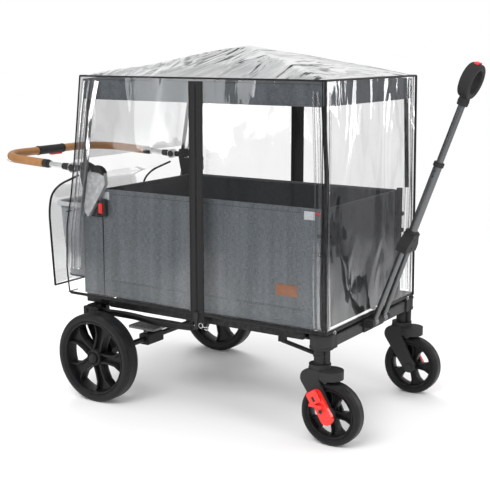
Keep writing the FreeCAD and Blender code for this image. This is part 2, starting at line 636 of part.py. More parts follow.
def pull_handle():
    """The handle in its own frame: its pin at the origin and its tube along Z, leaned forward."""
    leaned = Placement(Vector(mm("pull_pivot_place"), 0, mm("pull_pivot_height")),
                       Rotation(Y_AXIS, mm("pull_lean")))
    side_y, collar, ring = mm("fork_tube_side"), mm("collar_along"), mm("ring_along")
    pin_bore = mm("front_axle_radius") + mm("running_gap")

    def fork_tube(side, sign):
        tube = rod(f"fork_tube_{side}", (0, sign * side_y, 6), (0, sign * (side_y - 7), collar - 27),
                   "fork_tube_radius")
        low, high = sides_of(sign, 17, 41)
        eye = disc(f"fork_eye_{side}", (0, low, 0), (0, high, 0), 12)
        bore = disc(f"fork_eye_bore_{side}", (0, low - 1, 0), (0, high + 1, 0), pin_bore)
        return cut(f"fork_tube_cut_{side}", fuse(f"fork_tube_solid_{side}", [tube, eye]), bore)
    fork = mirrored_pair("fork_tubes", fork_tube)
    fork.Placement = leaned
    keep(fork, "pull_fork")

    yoke = doc.addObject("PartDesign::Body", "yoke")
    outline = [(-36, collar - 26), (36, collar - 26), (36, collar - 6), (20, collar + 18), (20, collar + 28),
               (-20, collar + 28), (-20, collar + 18), (-36, collar - 6)]
    cell("yoke_depth", 32)
    extruded(yoke, "yoke_pad", "YZ_Plane", outline, "yoke_depth")
    bore = disc("yoke_bore", (0, 0, collar - 10), (0, 0, collar + 34), mm("upper_tube_radius") + 0.1)
    yoke_cut = cut("yoke_cut", yoke, bore)
    yoke_cut.Placement = leaned
    keep(yoke_cut, "fork_collar")

    outer = rod("lower_tube", (0, 0, collar + 28.2), (0, 0, ring + 6), "lower_tube_radius")
    lip = disc("tube_ring", (0, 0, ring + 5), (0, 0, ring + 14), 14)
    inner = disc("lower_tube_bore", (0, 0, collar + 24), (0, 0, ring + 20), mm("upper_tube_radius") + 0.1)
    sleeve = cut("sleeve", fuse("sleeve_solid", [outer, lip]), inner)
    sleeve.Placement = leaned
    keep(sleeve, "lower_pull_tube")

    end = mm("grip_along")
    tube = rod("upper_tube", (0, 0, mm("upper_start_along")), (0, 0, end - 14), "upper_tube_radius")
    tube.Placement = leaned.multiply(tube.Placement)
    keep(tube, "upper_pull_tube")

    outer_radius, half_depth = mm("grip_length") / 2, mm("grip_depth") / 2
    centre = end - 12 + outer_radius
    band = disc("grip_band", (-half_depth, 0, centre), (half_depth, 0, centre), outer_radius)
    hole = disc("grip_hole", (-half_depth - 5, 0, centre), (half_depth + 5, 0, centre),
                outer_radius - mm("grip_wall"))
    loop = rounded("grip_loop", cut("grip_loop_cut", band, hole), 6.5, is_round)
    socket = disc("grip_socket", (0, 0, end - 30), (0, 0, end), 14)
    socket_bore = disc("grip_socket_bore", (0, 0, end - 40), (0, 0, end - 14), mm("upper_tube_radius"))
    top = centre + outer_radius
    pocket = block("button_pocket", (-6.5, -13.5, top - 13.5), (6.5, 13.5, top + 6))
    tools = fuse("grip_tools", [socket_bore, pocket])
    grip = cut("grip_cut", fuse("grip_solid", [loop, socket]), tools)
    grip.Placement = leaned
    keep(grip, "pull_grip")
    button = rounded("button_round", block("button", (-6, -13, top - 9), (6, 13, top + 3)), 3, runs_along(X_AXIS))
    button.Placement = leaned
    keep(button, "grip_button")


def push_bar():
    """The U-shaped push bar in its own frame: hinge at the origin and the arms along -X."""
    raised = Placement(Vector(mm("push_pivot_place"), 0, mm("push_pivot_height")),
                       Rotation(Y_AXIS, mm("push_lift")))
    side_y, reach, corner = mm("push_half_width"), mm("push_reach"), mm("push_corner_radius")
    start, half_housing = mm("push_grip_start"), mm("release_half_width")

    def arm(side, sign):
        low, high = sides_of(sign, 242, 261.5)
        hub = disc(f"push_hub_{side}", (0, low, 0), (0, high, 0), mm("push_hub_radius"))
        bore = disc(f"push_hub_bore_{side}", (0, low - 1, 0), (0, high + 1, 0),
                    mm("front_axle_radius") + mm("running_gap"))
        y = sign * side_y
        neck = disc(f"push_neck_{side}", (-8, y, 0), (-24, y, 0), 9.2)
        tube = rod(f"push_tube_{side}", (-20, y, 0), (0.2 - start, y, 0), "push_tube_radius")
        collar = disc(f"push_collar_{side}", (17 - start, y, 0), (0.2 - start, y, 0), 11.5)
        return cut(f"push_arm_{side}", fuse(f"push_arm_solid_{side}", [hub, neck, tube, collar]), bore)
    arms = mirrored_pair("push_arms", arm)
    arms.Placement = raised
    keep(arms, "push_bar")

    def grip(side, sign):
        y, bend_y = sign * side_y, sign * (side_y - corner)
        straight = rod(f"grip_leg_{side}", (-start, y, 0), (corner - reach, y, 0), "push_grip_radius")
        bend = doc.addObject("Part::Torus", f"grip_bend_{side}")
        bind(bend, "Radius1", "push_corner_radius")
        bind(bend, "Radius2", "push_grip_radius")
        bend.Angle3 = 90
        bend.Placement = Placement(Vector(corner - reach, bend_y, 0),
                                   Rotation(Z_AXIS, 90 if sign > 0 else 180))
        cross = rod(f"grip_cross_{side}", (-reach, bend_y, 0), (-reach, sign * (half_housing + 0.2), 0),
                    "push_grip_radius")
        return fuse(f"grip_half_{side}", [straight, bend, cross])
    grips = mirrored_pair("push_grips", grip)
    grips.Placement = raised
    keep(grips, "push_grip")

    shell = disc("release_shell", (-reach, -half_housing, 0), (-reach, half_housing, 0), 14.5)
    slot = block("release_slot", (-reach - 6, -1, -20), (-reach + 6, 55, -1.5))
    housing = cut("release_cut", shell, slot)
    housing.Placement = raised
    keep(housing, "release_housing")
    trigger = rounded("trigger_round", block("trigger", (-reach - 5.5, 0, -19), (-reach + 5.5, 54, -8)), 3,
                      runs_along(X_AXIS))
    trigger.Placement = raised
    keep(trigger, "push_trigger")


def write_parts():
    """Check every object and write each sub-part to its own STEP file."""
    doc.recompute()
    failed = []
    for item in doc.Objects:
        if "Invalid" in item.State or "Error" in item.State:
            failed.append(item.Label)
    if failed:
        raise RuntimeError("failed: " + ", ".join(failed))
    os.makedirs("parts", exist_ok=True)
    for item in parts:
        if item.Shape.isNull() or not item.Shape.isValid():
            raise RuntimeError(f"{item.Label} has no valid shape")
        item.Shape.exportStep(f"parts/{item.Label}.step")
    print(f"{len(parts)} sub-parts written")


rear_running_gear()
front_running_gear()
rear_frame()
front_frame()
floor()
tub()
canopy()
rain_cover()
pull_handle()
push_bar()
write_parts()
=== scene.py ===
"""A folding stroller wagon: its cloth, clear cover, wheels, handles and their finishes.

Sizes in the classes are in millimetres and every mesh is settled in metres, in the frame of the
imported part: +X forward towards the pull handle, +Y left and +Z up.
"""
import logging
import math
from collections.abc import Callable, Iterable, Sequence
from dataclasses import dataclass, field
from enum import Enum

import bmesh
import bpy
from mathutils import Matrix, Vector, noise


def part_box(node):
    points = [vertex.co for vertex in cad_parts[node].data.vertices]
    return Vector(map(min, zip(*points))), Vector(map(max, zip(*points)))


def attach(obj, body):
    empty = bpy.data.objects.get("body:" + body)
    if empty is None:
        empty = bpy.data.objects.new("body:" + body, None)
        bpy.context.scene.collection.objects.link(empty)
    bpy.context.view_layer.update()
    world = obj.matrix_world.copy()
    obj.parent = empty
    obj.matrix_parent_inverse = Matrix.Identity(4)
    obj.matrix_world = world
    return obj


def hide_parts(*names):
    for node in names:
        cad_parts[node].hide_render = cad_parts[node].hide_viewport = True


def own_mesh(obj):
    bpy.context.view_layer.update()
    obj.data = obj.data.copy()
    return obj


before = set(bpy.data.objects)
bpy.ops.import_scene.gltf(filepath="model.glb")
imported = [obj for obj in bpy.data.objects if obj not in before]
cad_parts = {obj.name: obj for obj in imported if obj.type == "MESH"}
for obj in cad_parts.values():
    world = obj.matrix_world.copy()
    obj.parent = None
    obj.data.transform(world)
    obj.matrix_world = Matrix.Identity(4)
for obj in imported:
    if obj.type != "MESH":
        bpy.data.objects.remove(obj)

LOG = logging.getLogger("wagon")
MM = 0.001
SIDES = {"left": 1, "right": -1}
Point = tuple[float, float, float]
Flat = tuple[float, float]


class Surface(Enum):
    """The kinds of surface that a finish can have."""

    MOULDED = "moulded"
    COATED = "coated"
    POLISHED = "polished"
    CLOTH = "cloth"
    NET = "net"
    FILM = "film"
    HIDE = "hide"


class Axis(Enum):
    """The direction that an outline is run along."""

    X = 0
    Y = 1
    Z = 2


# ---------------------------------------------------------------- node trees


class Tree:
    """A node tree under construction."""

    def __init__(self, tree: bpy.types.NodeTree) -> None:
        """Keep the tree.

        Args:
            tree: the tree of a material, a world or a group.
        """
        self.tree = tree

    def add(self, kind: str, feeds: dict | None = None, **settings: object) -> bpy.types.Node:
        """Add a node, set it up and feed its inputs.

        Args:
            kind: the node's type, without its ShaderNode prefix.
            feeds: values or sockets, by the input's name or number.
            **settings: the node's own properties.

        Returns:
            The new node.
        """
        node = self.tree.nodes.new("ShaderNode" + kind)
        for key, value in settings.items():
            setattr(node, key, value)
        for key, value in (feeds or {}).items():
            self.feed(node.inputs[key], value)
        return node

    def feed(self, socket: bpy.types.NodeSocket, value: object) -> None:
        """Link a socket into an input, or set a plain value on it.

        Args:
            socket: the input.
            value: a socket or a value.
        """
        if isinstance(value, bpy.types.NodeSocket):
            self.tree.links.new(value, socket)
        else:
            socket.default_value = value

    def math(self, operation: str, *values: object, clamp: bool = False) -> bpy.types.NodeSocket:
        """One arithmetic step.

        Args:
            operation: the Math node's operation.
            *values: its inputs in order.
            clamp: keep the result between 0 and 1.

        Returns:
            The result.
        """
        return self.add("Math", dict(enumerate(values)), operation=operation, use_clamp=clamp).outputs[0]

    def ramp(self, value: object, low: float, high: float, start: float = 0.0,
             end: float = 1.0) -> bpy.types.NodeSocket:
        """A smooth step of a value between two levels.

        Args:
            value: the socket to map.
            low: the level that gives start.
            high: the level that gives end.
            start: the result below low.
            end: the result above high.

        Returns:
            The mapped value.
        """
        feeds = {"Value": value, "From Min": low, "From Max": high, "To Min": start, "To Max": end}
        return self.add("MapRange", feeds, interpolation_type="SMOOTHSTEP").outputs[0]

    def mix(self, share: object, first: object, second: object) -> bpy.types.NodeSocket:
        """Two colours mixed by a share.

        Args:
            share: 0 for the first, 1 for the second.
            first: a colour or a colour socket.
            second: a colour or a colour socket.

        Returns:
            The mixed colour.
        """
        node = self.add("Mix", data_type="RGBA")
        for key, value in ((0, share), (6, first), (7, second)):
            self.feed(node.inputs[key], value)
        return node.outputs[2]

    def noise(self, vector: object, scale: object, detail: float = 3.0,
              twist: float = 0.0) -> bpy.types.NodeSocket:
        """A noise value over a vector.

        Args:
            vector: where it is read.
            scale: its frequency, per metre.
            detail: its octaves.
            twist: its distortion.

        Returns:
            The noise, about 0.5.
        """
        feeds = {"Vector": vector, "Scale": scale, "Detail": detail, "Distortion": twist}
        return self.add("TexNoise", feeds).outputs["Fac"]

    def stretched(self, scale: Point) -> bpy.types.NodeSocket:
        """Object coordinates, drawn out by a scale on each axis.

        Args:
            scale: the factor on each axis.

        Returns:
            The vector.
        """
        place = self.add("TexCoord").outputs["Object"]
        return self.add("Mapping", {"Vector": place, "Scale": scale}).outputs[0]


def shared_group(name: str, takes: dict[str, float], gives: Sequence[str]) -> tuple[Tree, dict, Callable]:
    """Start a shared node group.

    Args:
        name: the group's name.
        takes: its float inputs and what they are at first.
        gives: its float outputs.

    Returns:
        The tree, its inputs by name, and a function that feeds an output.
    """
    group = bpy.data.node_groups.new(name, "ShaderNodeTree")
    for key, value in takes.items():
        group.interface.new_socket(key, in_out="INPUT", socket_type="NodeSocketFloat").default_value = value
    for key in gives:
        group.interface.new_socket(key, in_out="OUTPUT", socket_type="NodeSocketFloat")
    tree = Tree(group)
    entry, leave = group.nodes.new("NodeGroupInput"), group.nodes.new("NodeGroupOutput")

    def give(key: str, value: bpy.types.NodeSocket) -> None:
        """Feed one of the group's outputs."""
        group.links.new(value, leave.inputs[key])

    return tree, {key: entry.outputs[key] for key in takes}, give


class Effects:
    """The shared effects: grain, edge wear, dust, weave, film and hide."""

    def __init__(self) -> None:
        """Build each group once."""
        self.grain()
        self.edge_wear()
        self.dust()
        self.weave()
        self.film_flow()
        self.hide_grain()

    def grain(self) -> None:
        """The fine pebble of moulded plastic or powder coat, and its slow change of tone."""
        tree, takes, give = shared_group("moulded_grain", {"Size": 900.0}, ("Height", "Tone"))
        place = tree.add("TexCoord").outputs["Object"]
        give("Height", tree.noise(place, takes["Size"], 2.0))
        give("Tone", tree.noise(place, 9.0, 4.0, 0.4))

    def edge_wear(self) -> None:
        """Where edges have rubbed bright."""
        tree, takes, give = shared_group("edge_wear", {"Amount": 0.5}, ("Mask",))
        sharp = tree.ramp(tree.add("NewGeometry").outputs["Pointiness"], 0.52, 0.62)
        broken = tree.ramp(tree.noise(tree.add("TexCoord").outputs["Object"], 70.0, 4.0), 0.4, 0.7)
        give("Mask", tree.math("MULTIPLY", tree.math("MULTIPLY", sharp, broken), takes["Amount"], clamp=True))

    def dust(self) -> None:
        """A little dust that lies on what faces up."""
        tree, takes, give = shared_group("dust", {"Amount": 0.2}, ("Mask",))
        up = tree.add("SeparateXYZ", {0: tree.add("NewGeometry").outputs["Normal"]}).outputs[2]
        cloud = tree.ramp(tree.noise(tree.add("TexCoord").outputs["Object"], 26.0, 5.0, 0.6), 0.35, 0.75)
        give("Mask", tree.math("MULTIPLY", tree.math("MULTIPLY", tree.ramp(up, 0.1, 0.95), cloud),
                               takes["Amount"], clamp=True))

    def weave(self) -> None:
        """Crossed threads, flecked yarn and long soft streaks."""
        takes = {"Across": 0.0, "Along": 0.0, "Threads": 600.0, "Streak": 1.0}
        tree, takes, give = shared_group("cloth_weave", takes, ("Height", "Fleck"))
        turns = [tree.math("SINE", tree.math("MULTIPLY", tree.math("MULTIPLY", takes[key], takes["Threads"]),
                                             2 * math.pi)) for key in ("Across", "Along")]
        give("Height", tree.math("MULTIPLY", *turns))
        flat = tree.add("CombineXYZ", {0: takes["Across"], 1: takes["Along"]}).outputs[0]
        warp = tree.noise(tree.add("Mapping", {"Vector": flat, "Scale": (900, 60, 1)}).outputs[0], 1.0, 2.0)
        weft = tree.noise(tree.add("Mapping", {"Vector": flat, "Scale": (70, 800, 1)}).outputs[0], 1.0, 2.0)
        slow = tree.noise(tree.add("Mapping", {"Vector": flat, "Scale": (34, 1.6, 1)}).outputs[0], 1.0, 3.0)
        yarn = tree.math("ADD", tree.math("MULTIPLY", warp, 0.5), tree.math("MULTIPLY", weft, 0.5))
        streak = tree.math("MULTIPLY", tree.math("SUBTRACT", slow, 0.5), takes["Streak"])
        give("Fleck", tree.math("ADD", tree.ramp(yarn, 0.36, 0.64), streak, clamp=True))

    def film_flow(self) -> None:
        """Slow swells and creases in clear film, and its faint haze."""
        takes = {"Across": 0.0, "Along": 0.0, "Swirl": 1.0}
        tree, takes, give = shared_group("film_flow", takes, ("Height", "Haze"))
        flat = tree.add("CombineXYZ", {0: takes["Across"], 1: takes["Along"]}).outputs[0]
        drawn = tree.add("Mapping", {"Vector": flat, "Scale": (9, 3.2, 1)}).outputs[0]
        slow = tree.noise(drawn, 1.0, 1.0, takes["Swirl"])
        crease = tree.noise(tree.add("Mapping", {"Vector": flat, "Scale": (30, 7, 1)}).outputs[0], 1.0, 2.0, 1.0)
        give("Height", tree.math("ADD", slow, tree.math("MULTIPLY", tree.ramp(crease, 0.55, 0.75), 0.04)))
        give("Haze", tree.ramp(tree.noise(drawn, 0.7, 3.0, 0.8), 0.42, 0.72))

    def hide_grain(self) -> None:
        """The cells and creases of leather."""
        tree, takes, give = shared_group("hide_grain", {"Size": 700.0}, ("Height", "Tone"))
        place = tree.add("TexCoord").outputs["Object"]
        cells = tree.add("TexVoronoi", {"Vector": place, "Scale": takes["Size"]}).outputs["Distance"]
        give("Height", tree.math("ADD", cells, tree.math("MULTIPLY", tree.noise(place, 160.0, 3.0), 0.8)))
        give("Tone", tree.noise(place, 22.0, 4.0, 0.5))


@dataclass(frozen=True)
class Finish:
    """One finish: its surface, colours and gloss, and the record's slot it belongs to."""

    name: str
    slot: str
    surface: Surface
    colour: Point
    second: Point
    roughness: float = 0.5
    size: float = 900.0
    depth: float = 0.2
    level: bool = False
    strength: float = 1.0
    lining: Point | None = None

    def material(self) -> bpy.types.Material:
        """The finish as a material, built once.

        Returns:
            The material.
        """
        made = bpy.data.materials.get(self.name)
        if made is None:
            made = bpy.data.materials.new(self.name)
            made.use_nodes = True
            tree = Tree(made.node_tree)
            shader = made.node_tree.nodes["Principled BSDF"]
            getattr(self, "_" + self.surface.value)(tree, shader)
        return made

    def _group(self, tree: Tree, name: str, **feeds: object) -> bpy.types.Node:
        """Place a shared group with its own values.

        Args:
            tree: the material's tree.
            name: the group's name.
            **feeds: its inputs.

        Returns:
            The group node.
        """
        node = tree.add("Group", node_tree=bpy.data.node_groups[name])
        for key, value in feeds.items():
            tree.feed(node.inputs[key], value)
        return node

    def _bump(self, tree: Tree, shader: bpy.types.Node, height: object, distance: float,
              rounding: float = 0.0) -> None:
        """Feed a height into the shader's normal, over softly rounded edges.

        Args:
            tree: the material's tree.
            shader: the Principled node.
            height: the height.
            distance: how deep it is, in metres.
            rounding: the radius that the edges look rounded by, in metres.
        """
        bump = tree.add("Bump", {"Strength": self.depth, "Distance": distance, "Height": height})
        if rounding:
            tree.feed(bump.inputs["Normal"], tree.add("Bevel", {"Radius": rounding}, samples=4).outputs[0])
        tree.feed(shader.inputs["Normal"], bump.outputs[0])

    def _colour(self, tree: Tree, shader: bpy.types.Node, tone: object, worn: float, dusty: float) -> None:
        """Two tones, with worn edges and dust over them.

        Args:
            tree: the material's tree.
            shader: the Principled node.
            tone: the share of the second tone.
            worn: how much edge wear.
            dusty: how much dust.
        """
        base = tree.mix(tree.ramp(tone, 0.3, 0.7), (*self.colour, 1), (*self.second, 1))
        bright = (*(min(1.0, c * 2.2 + 0.03) for c in self.colour), 1)
        worn_mask = self._group(tree, "edge_wear", Amount=worn).outputs["Mask"]
        dust_mask = self._group(tree, "dust", Amount=dusty).outputs["Mask"]
        base = tree.mix(worn_mask, base, bright)
        tree.feed(shader.inputs["Base Color"], tree.mix(dust_mask, base, (0.42, 0.41, 0.4, 1)))
        rough = tree.ramp(tone, 0.2, 0.8, self.roughness - 0.06, self.roughness + 0.08)
        tree.feed(shader.inputs["Roughness"], tree.math("ADD", rough, dust_mask, clamp=True))

    def _moulded(self, tree: Tree, shader: bpy.types.Node) -> None:
        """Moulded plastic or rubber."""
        grain = self._group(tree, "moulded_grain", Size=self.size)
        self._colour(tree, shader, grain.outputs["Tone"], 0.4, 0.05)
        self._bump(tree, shader, grain.outputs["Height"], 0.0006, 0.0016)
        shader.inputs["Specular IOR Level"].default_value = 0.25

    def _coated(self, tree: Tree, shader: bpy.types.Node) -> None:
        """Powder-coated or anodised metal."""
        grain = self._group(tree, "moulded_grain", Size=self.size)
        self._colour(tree, shader, grain.outputs["Tone"], 0.5, 0.04)
        shader.inputs["Metallic"].default_value = 0.55
        self._bump(tree, shader, grain.outputs["Height"], 0.0003, 0.0012)

    def _polished(self, tree: Tree, shader: bpy.types.Node) -> None:
        """Bright drawn tube."""
        lines = tree.noise(tree.stretched((6, 260, 260)), 3.0, 2.0)
        self._colour(tree, shader, lines, 0.2, 0.02)
        shader.inputs["Metallic"].default_value = 0.9
        self._bump(tree, shader, lines, 0.0002, 0.001)

    def _across(self, tree: Tree) -> tuple[object, object]:
        """Where a thread or a crease lies on an upright or a level panel.

        Args:
            tree: the material's tree.

        Returns:
            The two coordinates.
        """
        parts = tree.add("SeparateXYZ", {0: tree.add("TexCoord").outputs["Object"]}).outputs
        if self.level:
            return parts[0], parts[1]
        return tree.math("ADD", parts[0], parts[1]), parts[2]

    def _cloth(self, tree: Tree, shader: bpy.types.Node) -> bpy.types.Node:
        """Woven cloth, with a darker lining where it has one.

        Returns:
            The weave's group node.
        """
        across, along = self._across(tree)
        weave = self._group(tree, "cloth_weave", Across=across, Along=along, Threads=self.size,
                            Streak=self.strength)
        base = tree.mix(weave.outputs["Fleck"], (*self.colour, 1), (*self.second, 1))
        if self.lining:
            base = tree.mix(tree.add("NewGeometry").outputs["Backfacing"], base, (*self.lining, 1))
        dust_mask = self._group(tree, "dust", Amount=0.06).outputs["Mask"]
        tree.feed(shader.inputs["Base Color"], tree.mix(dust_mask, base, (0.5, 0.5, 0.5, 1)))
        tree.feed(shader.inputs["Roughness"], tree.ramp(weave.outputs["Fleck"], 0, 1, self.roughness + 0.06,
                                                        self.roughness - 0.06))
        shader.inputs["Sheen Weight"].default_value = 0.25
        shader.inputs["Sheen Roughness"].default_value = 0.5
        self._bump(tree, shader, weave.outputs["Height"], 0.0008)
        return weave

    def _net(self, tree: Tree, shader: bpy.types.Node) -> None:
        """Open net: woven cloth with rows of small holes."""
        weave = self._cloth(tree, shader)
        hole = tree.ramp(weave.outputs["Height"], 0.62, 0.9, 1.0, self.strength)
        tree.feed(shader.inputs["Alpha"], hole)

    def _film(self, tree: Tree, shader: bpy.types.Node) -> None:
        """Clear film: it mirrors at a slant and where it swells, and is clear elsewhere."""
        across, along = self._across(tree)
        flow = self._group(tree, "film_flow", Across=across, Along=along, Swirl=self.size)
        bump = tree.add("Bump", {"Strength": 1.0, "Distance": self.depth * MM, "Height": flow.outputs["Height"]})
        shine = tree.add("Fresnel", {"IOR": 1.5, "Normal": bump.outputs[0]}).outputs[0]
        haze = tree.ramp(flow.outputs["Haze"], 0, 1, 0.01, 0.05)
        alpha = tree.math("ADD", tree.math("MULTIPLY", shine, self.strength), haze, clamp=True)
        tree.feed(shader.inputs["Alpha"], alpha)
        tree.feed(shader.inputs["Normal"], bump.outputs[0])
        tree.feed(shader.inputs["Base Color"], tree.mix(flow.outputs["Haze"], (*self.colour, 1), (*self.second, 1)))
        shader.inputs["Metallic"].default_value = 1.0
        shader.inputs["Roughness"].default_value = self.roughness

    def _hide(self, tree: Tree, shader: bpy.types.Node) -> None:
        """Leather or its imitation."""
        grain = self._group(tree, "hide_grain", Size=self.size)
        self._colour(tree, shader, grain.outputs["Tone"], 0.25, 0.04)
        self._bump(tree, shader, grain.outputs["Height"], 0.0006)


RUBBER = Finish("tyre_rubber", "rear_tyre", Surface.MOULDED, (0.006, 0.006, 0.007), (0.01, 0.01, 0.011), 0.42, 500)
FRONT_RUBBER = Finish("front_tyre_rubber", "front_tyre", Surface.MOULDED, (0.006, 0.006, 0.007),
                      (0.01, 0.01, 0.011), 0.42, 500)
RIM = Finish("rim_plastic", "wheel_rim", Surface.MOULDED, (0.004, 0.004, 0.005), (0.008, 0.008, 0.009), 0.34)
STEEL = Finish("black_powder_coat", "black_steel", Surface.COATED, (0.006, 0.006, 0.007), (0.011, 0.011, 0.012), 0.36)
RAIL = Finish("rail_powder_coat", "rail_steel", Surface.COATED, (0.007, 0.007, 0.008), (0.014, 0.014, 0.015), 0.36)
PLASTIC = Finish("black_plastic", "black_plastic", Surface.MOULDED, (0.004, 0.004, 0.005), (0.008, 0.008, 0.009),
                 0.34)
PEDAL = Finish("pedal_plastic", "pedal_grey", Surface.MOULDED, (0.2, 0.205, 0.21), (0.26, 0.265, 0.27), 0.5, 500)
RED = Finish("red_plastic", "red_plastic", Surface.MOULDED, (0.78, 0.022, 0.03), (0.86, 0.035, 0.04), 0.33, 700, 0.1)
LINEN = Finish("heather_linen", "heather_fabric", Surface.CLOTH, (0.088, 0.102, 0.114), (0.19, 0.21, 0.228),
               0.85, 420,
               0.5, strength=1.6)
LINING = Finish("tub_lining", "heather_fabric", Surface.CLOTH, (0.036, 0.038, 0.041), (0.06, 0.063, 0.068), 0.85,
                520, 0.4,
                strength=0.5)
FLOOR_CLOTH = Finish("floor_cloth", "floor_fabric", Surface.CLOTH, (0.045, 0.048, 0.052), (0.08, 0.085, 0.09),
                     0.85, 400,
                     0.5, level=True)
CANOPY = Finish("canopy_cloth", "canopy_fabric", Surface.CLOTH, (0.075, 0.086, 0.096), (0.15, 0.165, 0.18), 0.85, 450,
                0.4, lining=(0.02, 0.021, 0.023))
ROOF_CLOTH = Finish("canopy_roof_cloth", "canopy_fabric", Surface.CLOTH, (0.085, 0.09, 0.095), (0.16, 0.168,
                                                                                                0.175), 0.85,
                    450, 0.4, level=True, lining=(0.02, 0.021, 0.023))
NET = Finish("basket_net", "basket_mesh", Surface.NET, (0.13, 0.14, 0.15), (0.26, 0.275, 0.29), 0.8, 300, 0.6,
             strength=0.25)
BASKET_RIM = Finish("basket_binding", "basket_mesh", Surface.CLOTH, (0.3, 0.31, 0.32), (0.42, 0.43, 0.44), 0.75, 500)
# Painted reflection: this light grey stands in for the clear cover's reflection over the handle brackets, whose
# plastic is black.
BRACKET_PAINTED_REFLECTION = Finish("bracket_painted_reflection", "bracket_grey", Surface.MOULDED, (0.42, 0.43, 0.44), (0.5, 0.51, 0.52), 0.35, 700,
                 0.1)
LABEL = Finish("reflective_tape", "bracket_grey", Surface.CLOTH, (0.5, 0.52, 0.54), (0.66, 0.68, 0.7), 0.4, 500, 0.3)
FILM = Finish("side_film", "clear_film", Surface.FILM, (0.8, 0.81, 0.82), (0.95, 0.95, 0.96), 0.03, 0.8, 3.0,
              strength=0.8)
CLEAR_FILM = Finish("far_film", "clear_film", Surface.FILM, (0.8, 0.81, 0.82), (0.95, 0.95, 0.96), 0.03, 0.8, 2.0,
                    strength=0.4)
FRONT_FILM = Finish("front_film", "clear_film", Surface.FILM, (0.8, 0.81, 0.82), (0.95, 0.95, 0.96), 0.03, 1.4, 5.0,
                    strength=1.8)
ROOF_FILM = Finish("roof_film", "clear_film", Surface.FILM, (0.84, 0.85, 0.86), (0.97, 0.97, 0.97), 0.04, 3.0, 4.0,
                   level=True, strength=3.0)
POUCH_FILM = Finish("pouch_film", "clear_film", Surface.FILM, (0.8, 0.81, 0.82), (0.95, 0.95, 0.96), 0.03, 0.8, 2.0,
                    level=True, strength=0.45)
PLEAT_FILM = Finish("pleat_film", "clear_film", Surface.FILM, (0.85, 0.86, 0.87), (0.97, 0.97, 0.97), 0.04, 1.4, 3.0,
                    strength=2.6)
WEBBING = Finish("black_webbing", "black_webbing", Surface.CLOTH, (0.004, 0.004, 0.005), (0.012, 0.012, 0.013),
                 0.7, 700,
                 0.5, strength=0.3)
PIPING = Finish("black_piping", "black_webbing", Surface.MOULDED, (0.005, 0.005, 0.006), (0.01, 0.01, 0.011), 0.35)
GUNMETAL = Finish("gunmetal_tube", "gunmetal_tube", Surface.COATED, (0.1, 0.102, 0.106), (0.14, 0.143, 0.148), 0.3)
SILVER = Finish("silver_tube", "silver_tube", Surface.POLISHED, (0.34, 0.345, 0.35), (0.44, 0.445, 0.45), 0.3)
HOOK = Finish("plated_hook", "silver_tube", Surface.POLISHED, (0.6, 0.61, 0.62), (0.72, 0.73, 0.74), 0.2)
TAN = Finish("tan_leather", "tan_grip", Surface.HIDE, (0.27, 0.12, 0.034), (0.34, 0.155, 0.048), 0.5, 600, 0.5)
TAN_PATCH = Finish("tan_patch", "tan_grip", Surface.HIDE, (0.27, 0.085, 0.022), (0.33, 0.11, 0.03), 0.5, 900, 0.5)
THREAD = Finish("waxed_thread", "tan_grip", Surface.CLOTH, (0.2, 0.09, 0.03), (0.3, 0.14, 0.05), 0.7, 2000, 0.3)


# ---------------------------------------------------------------- meshes


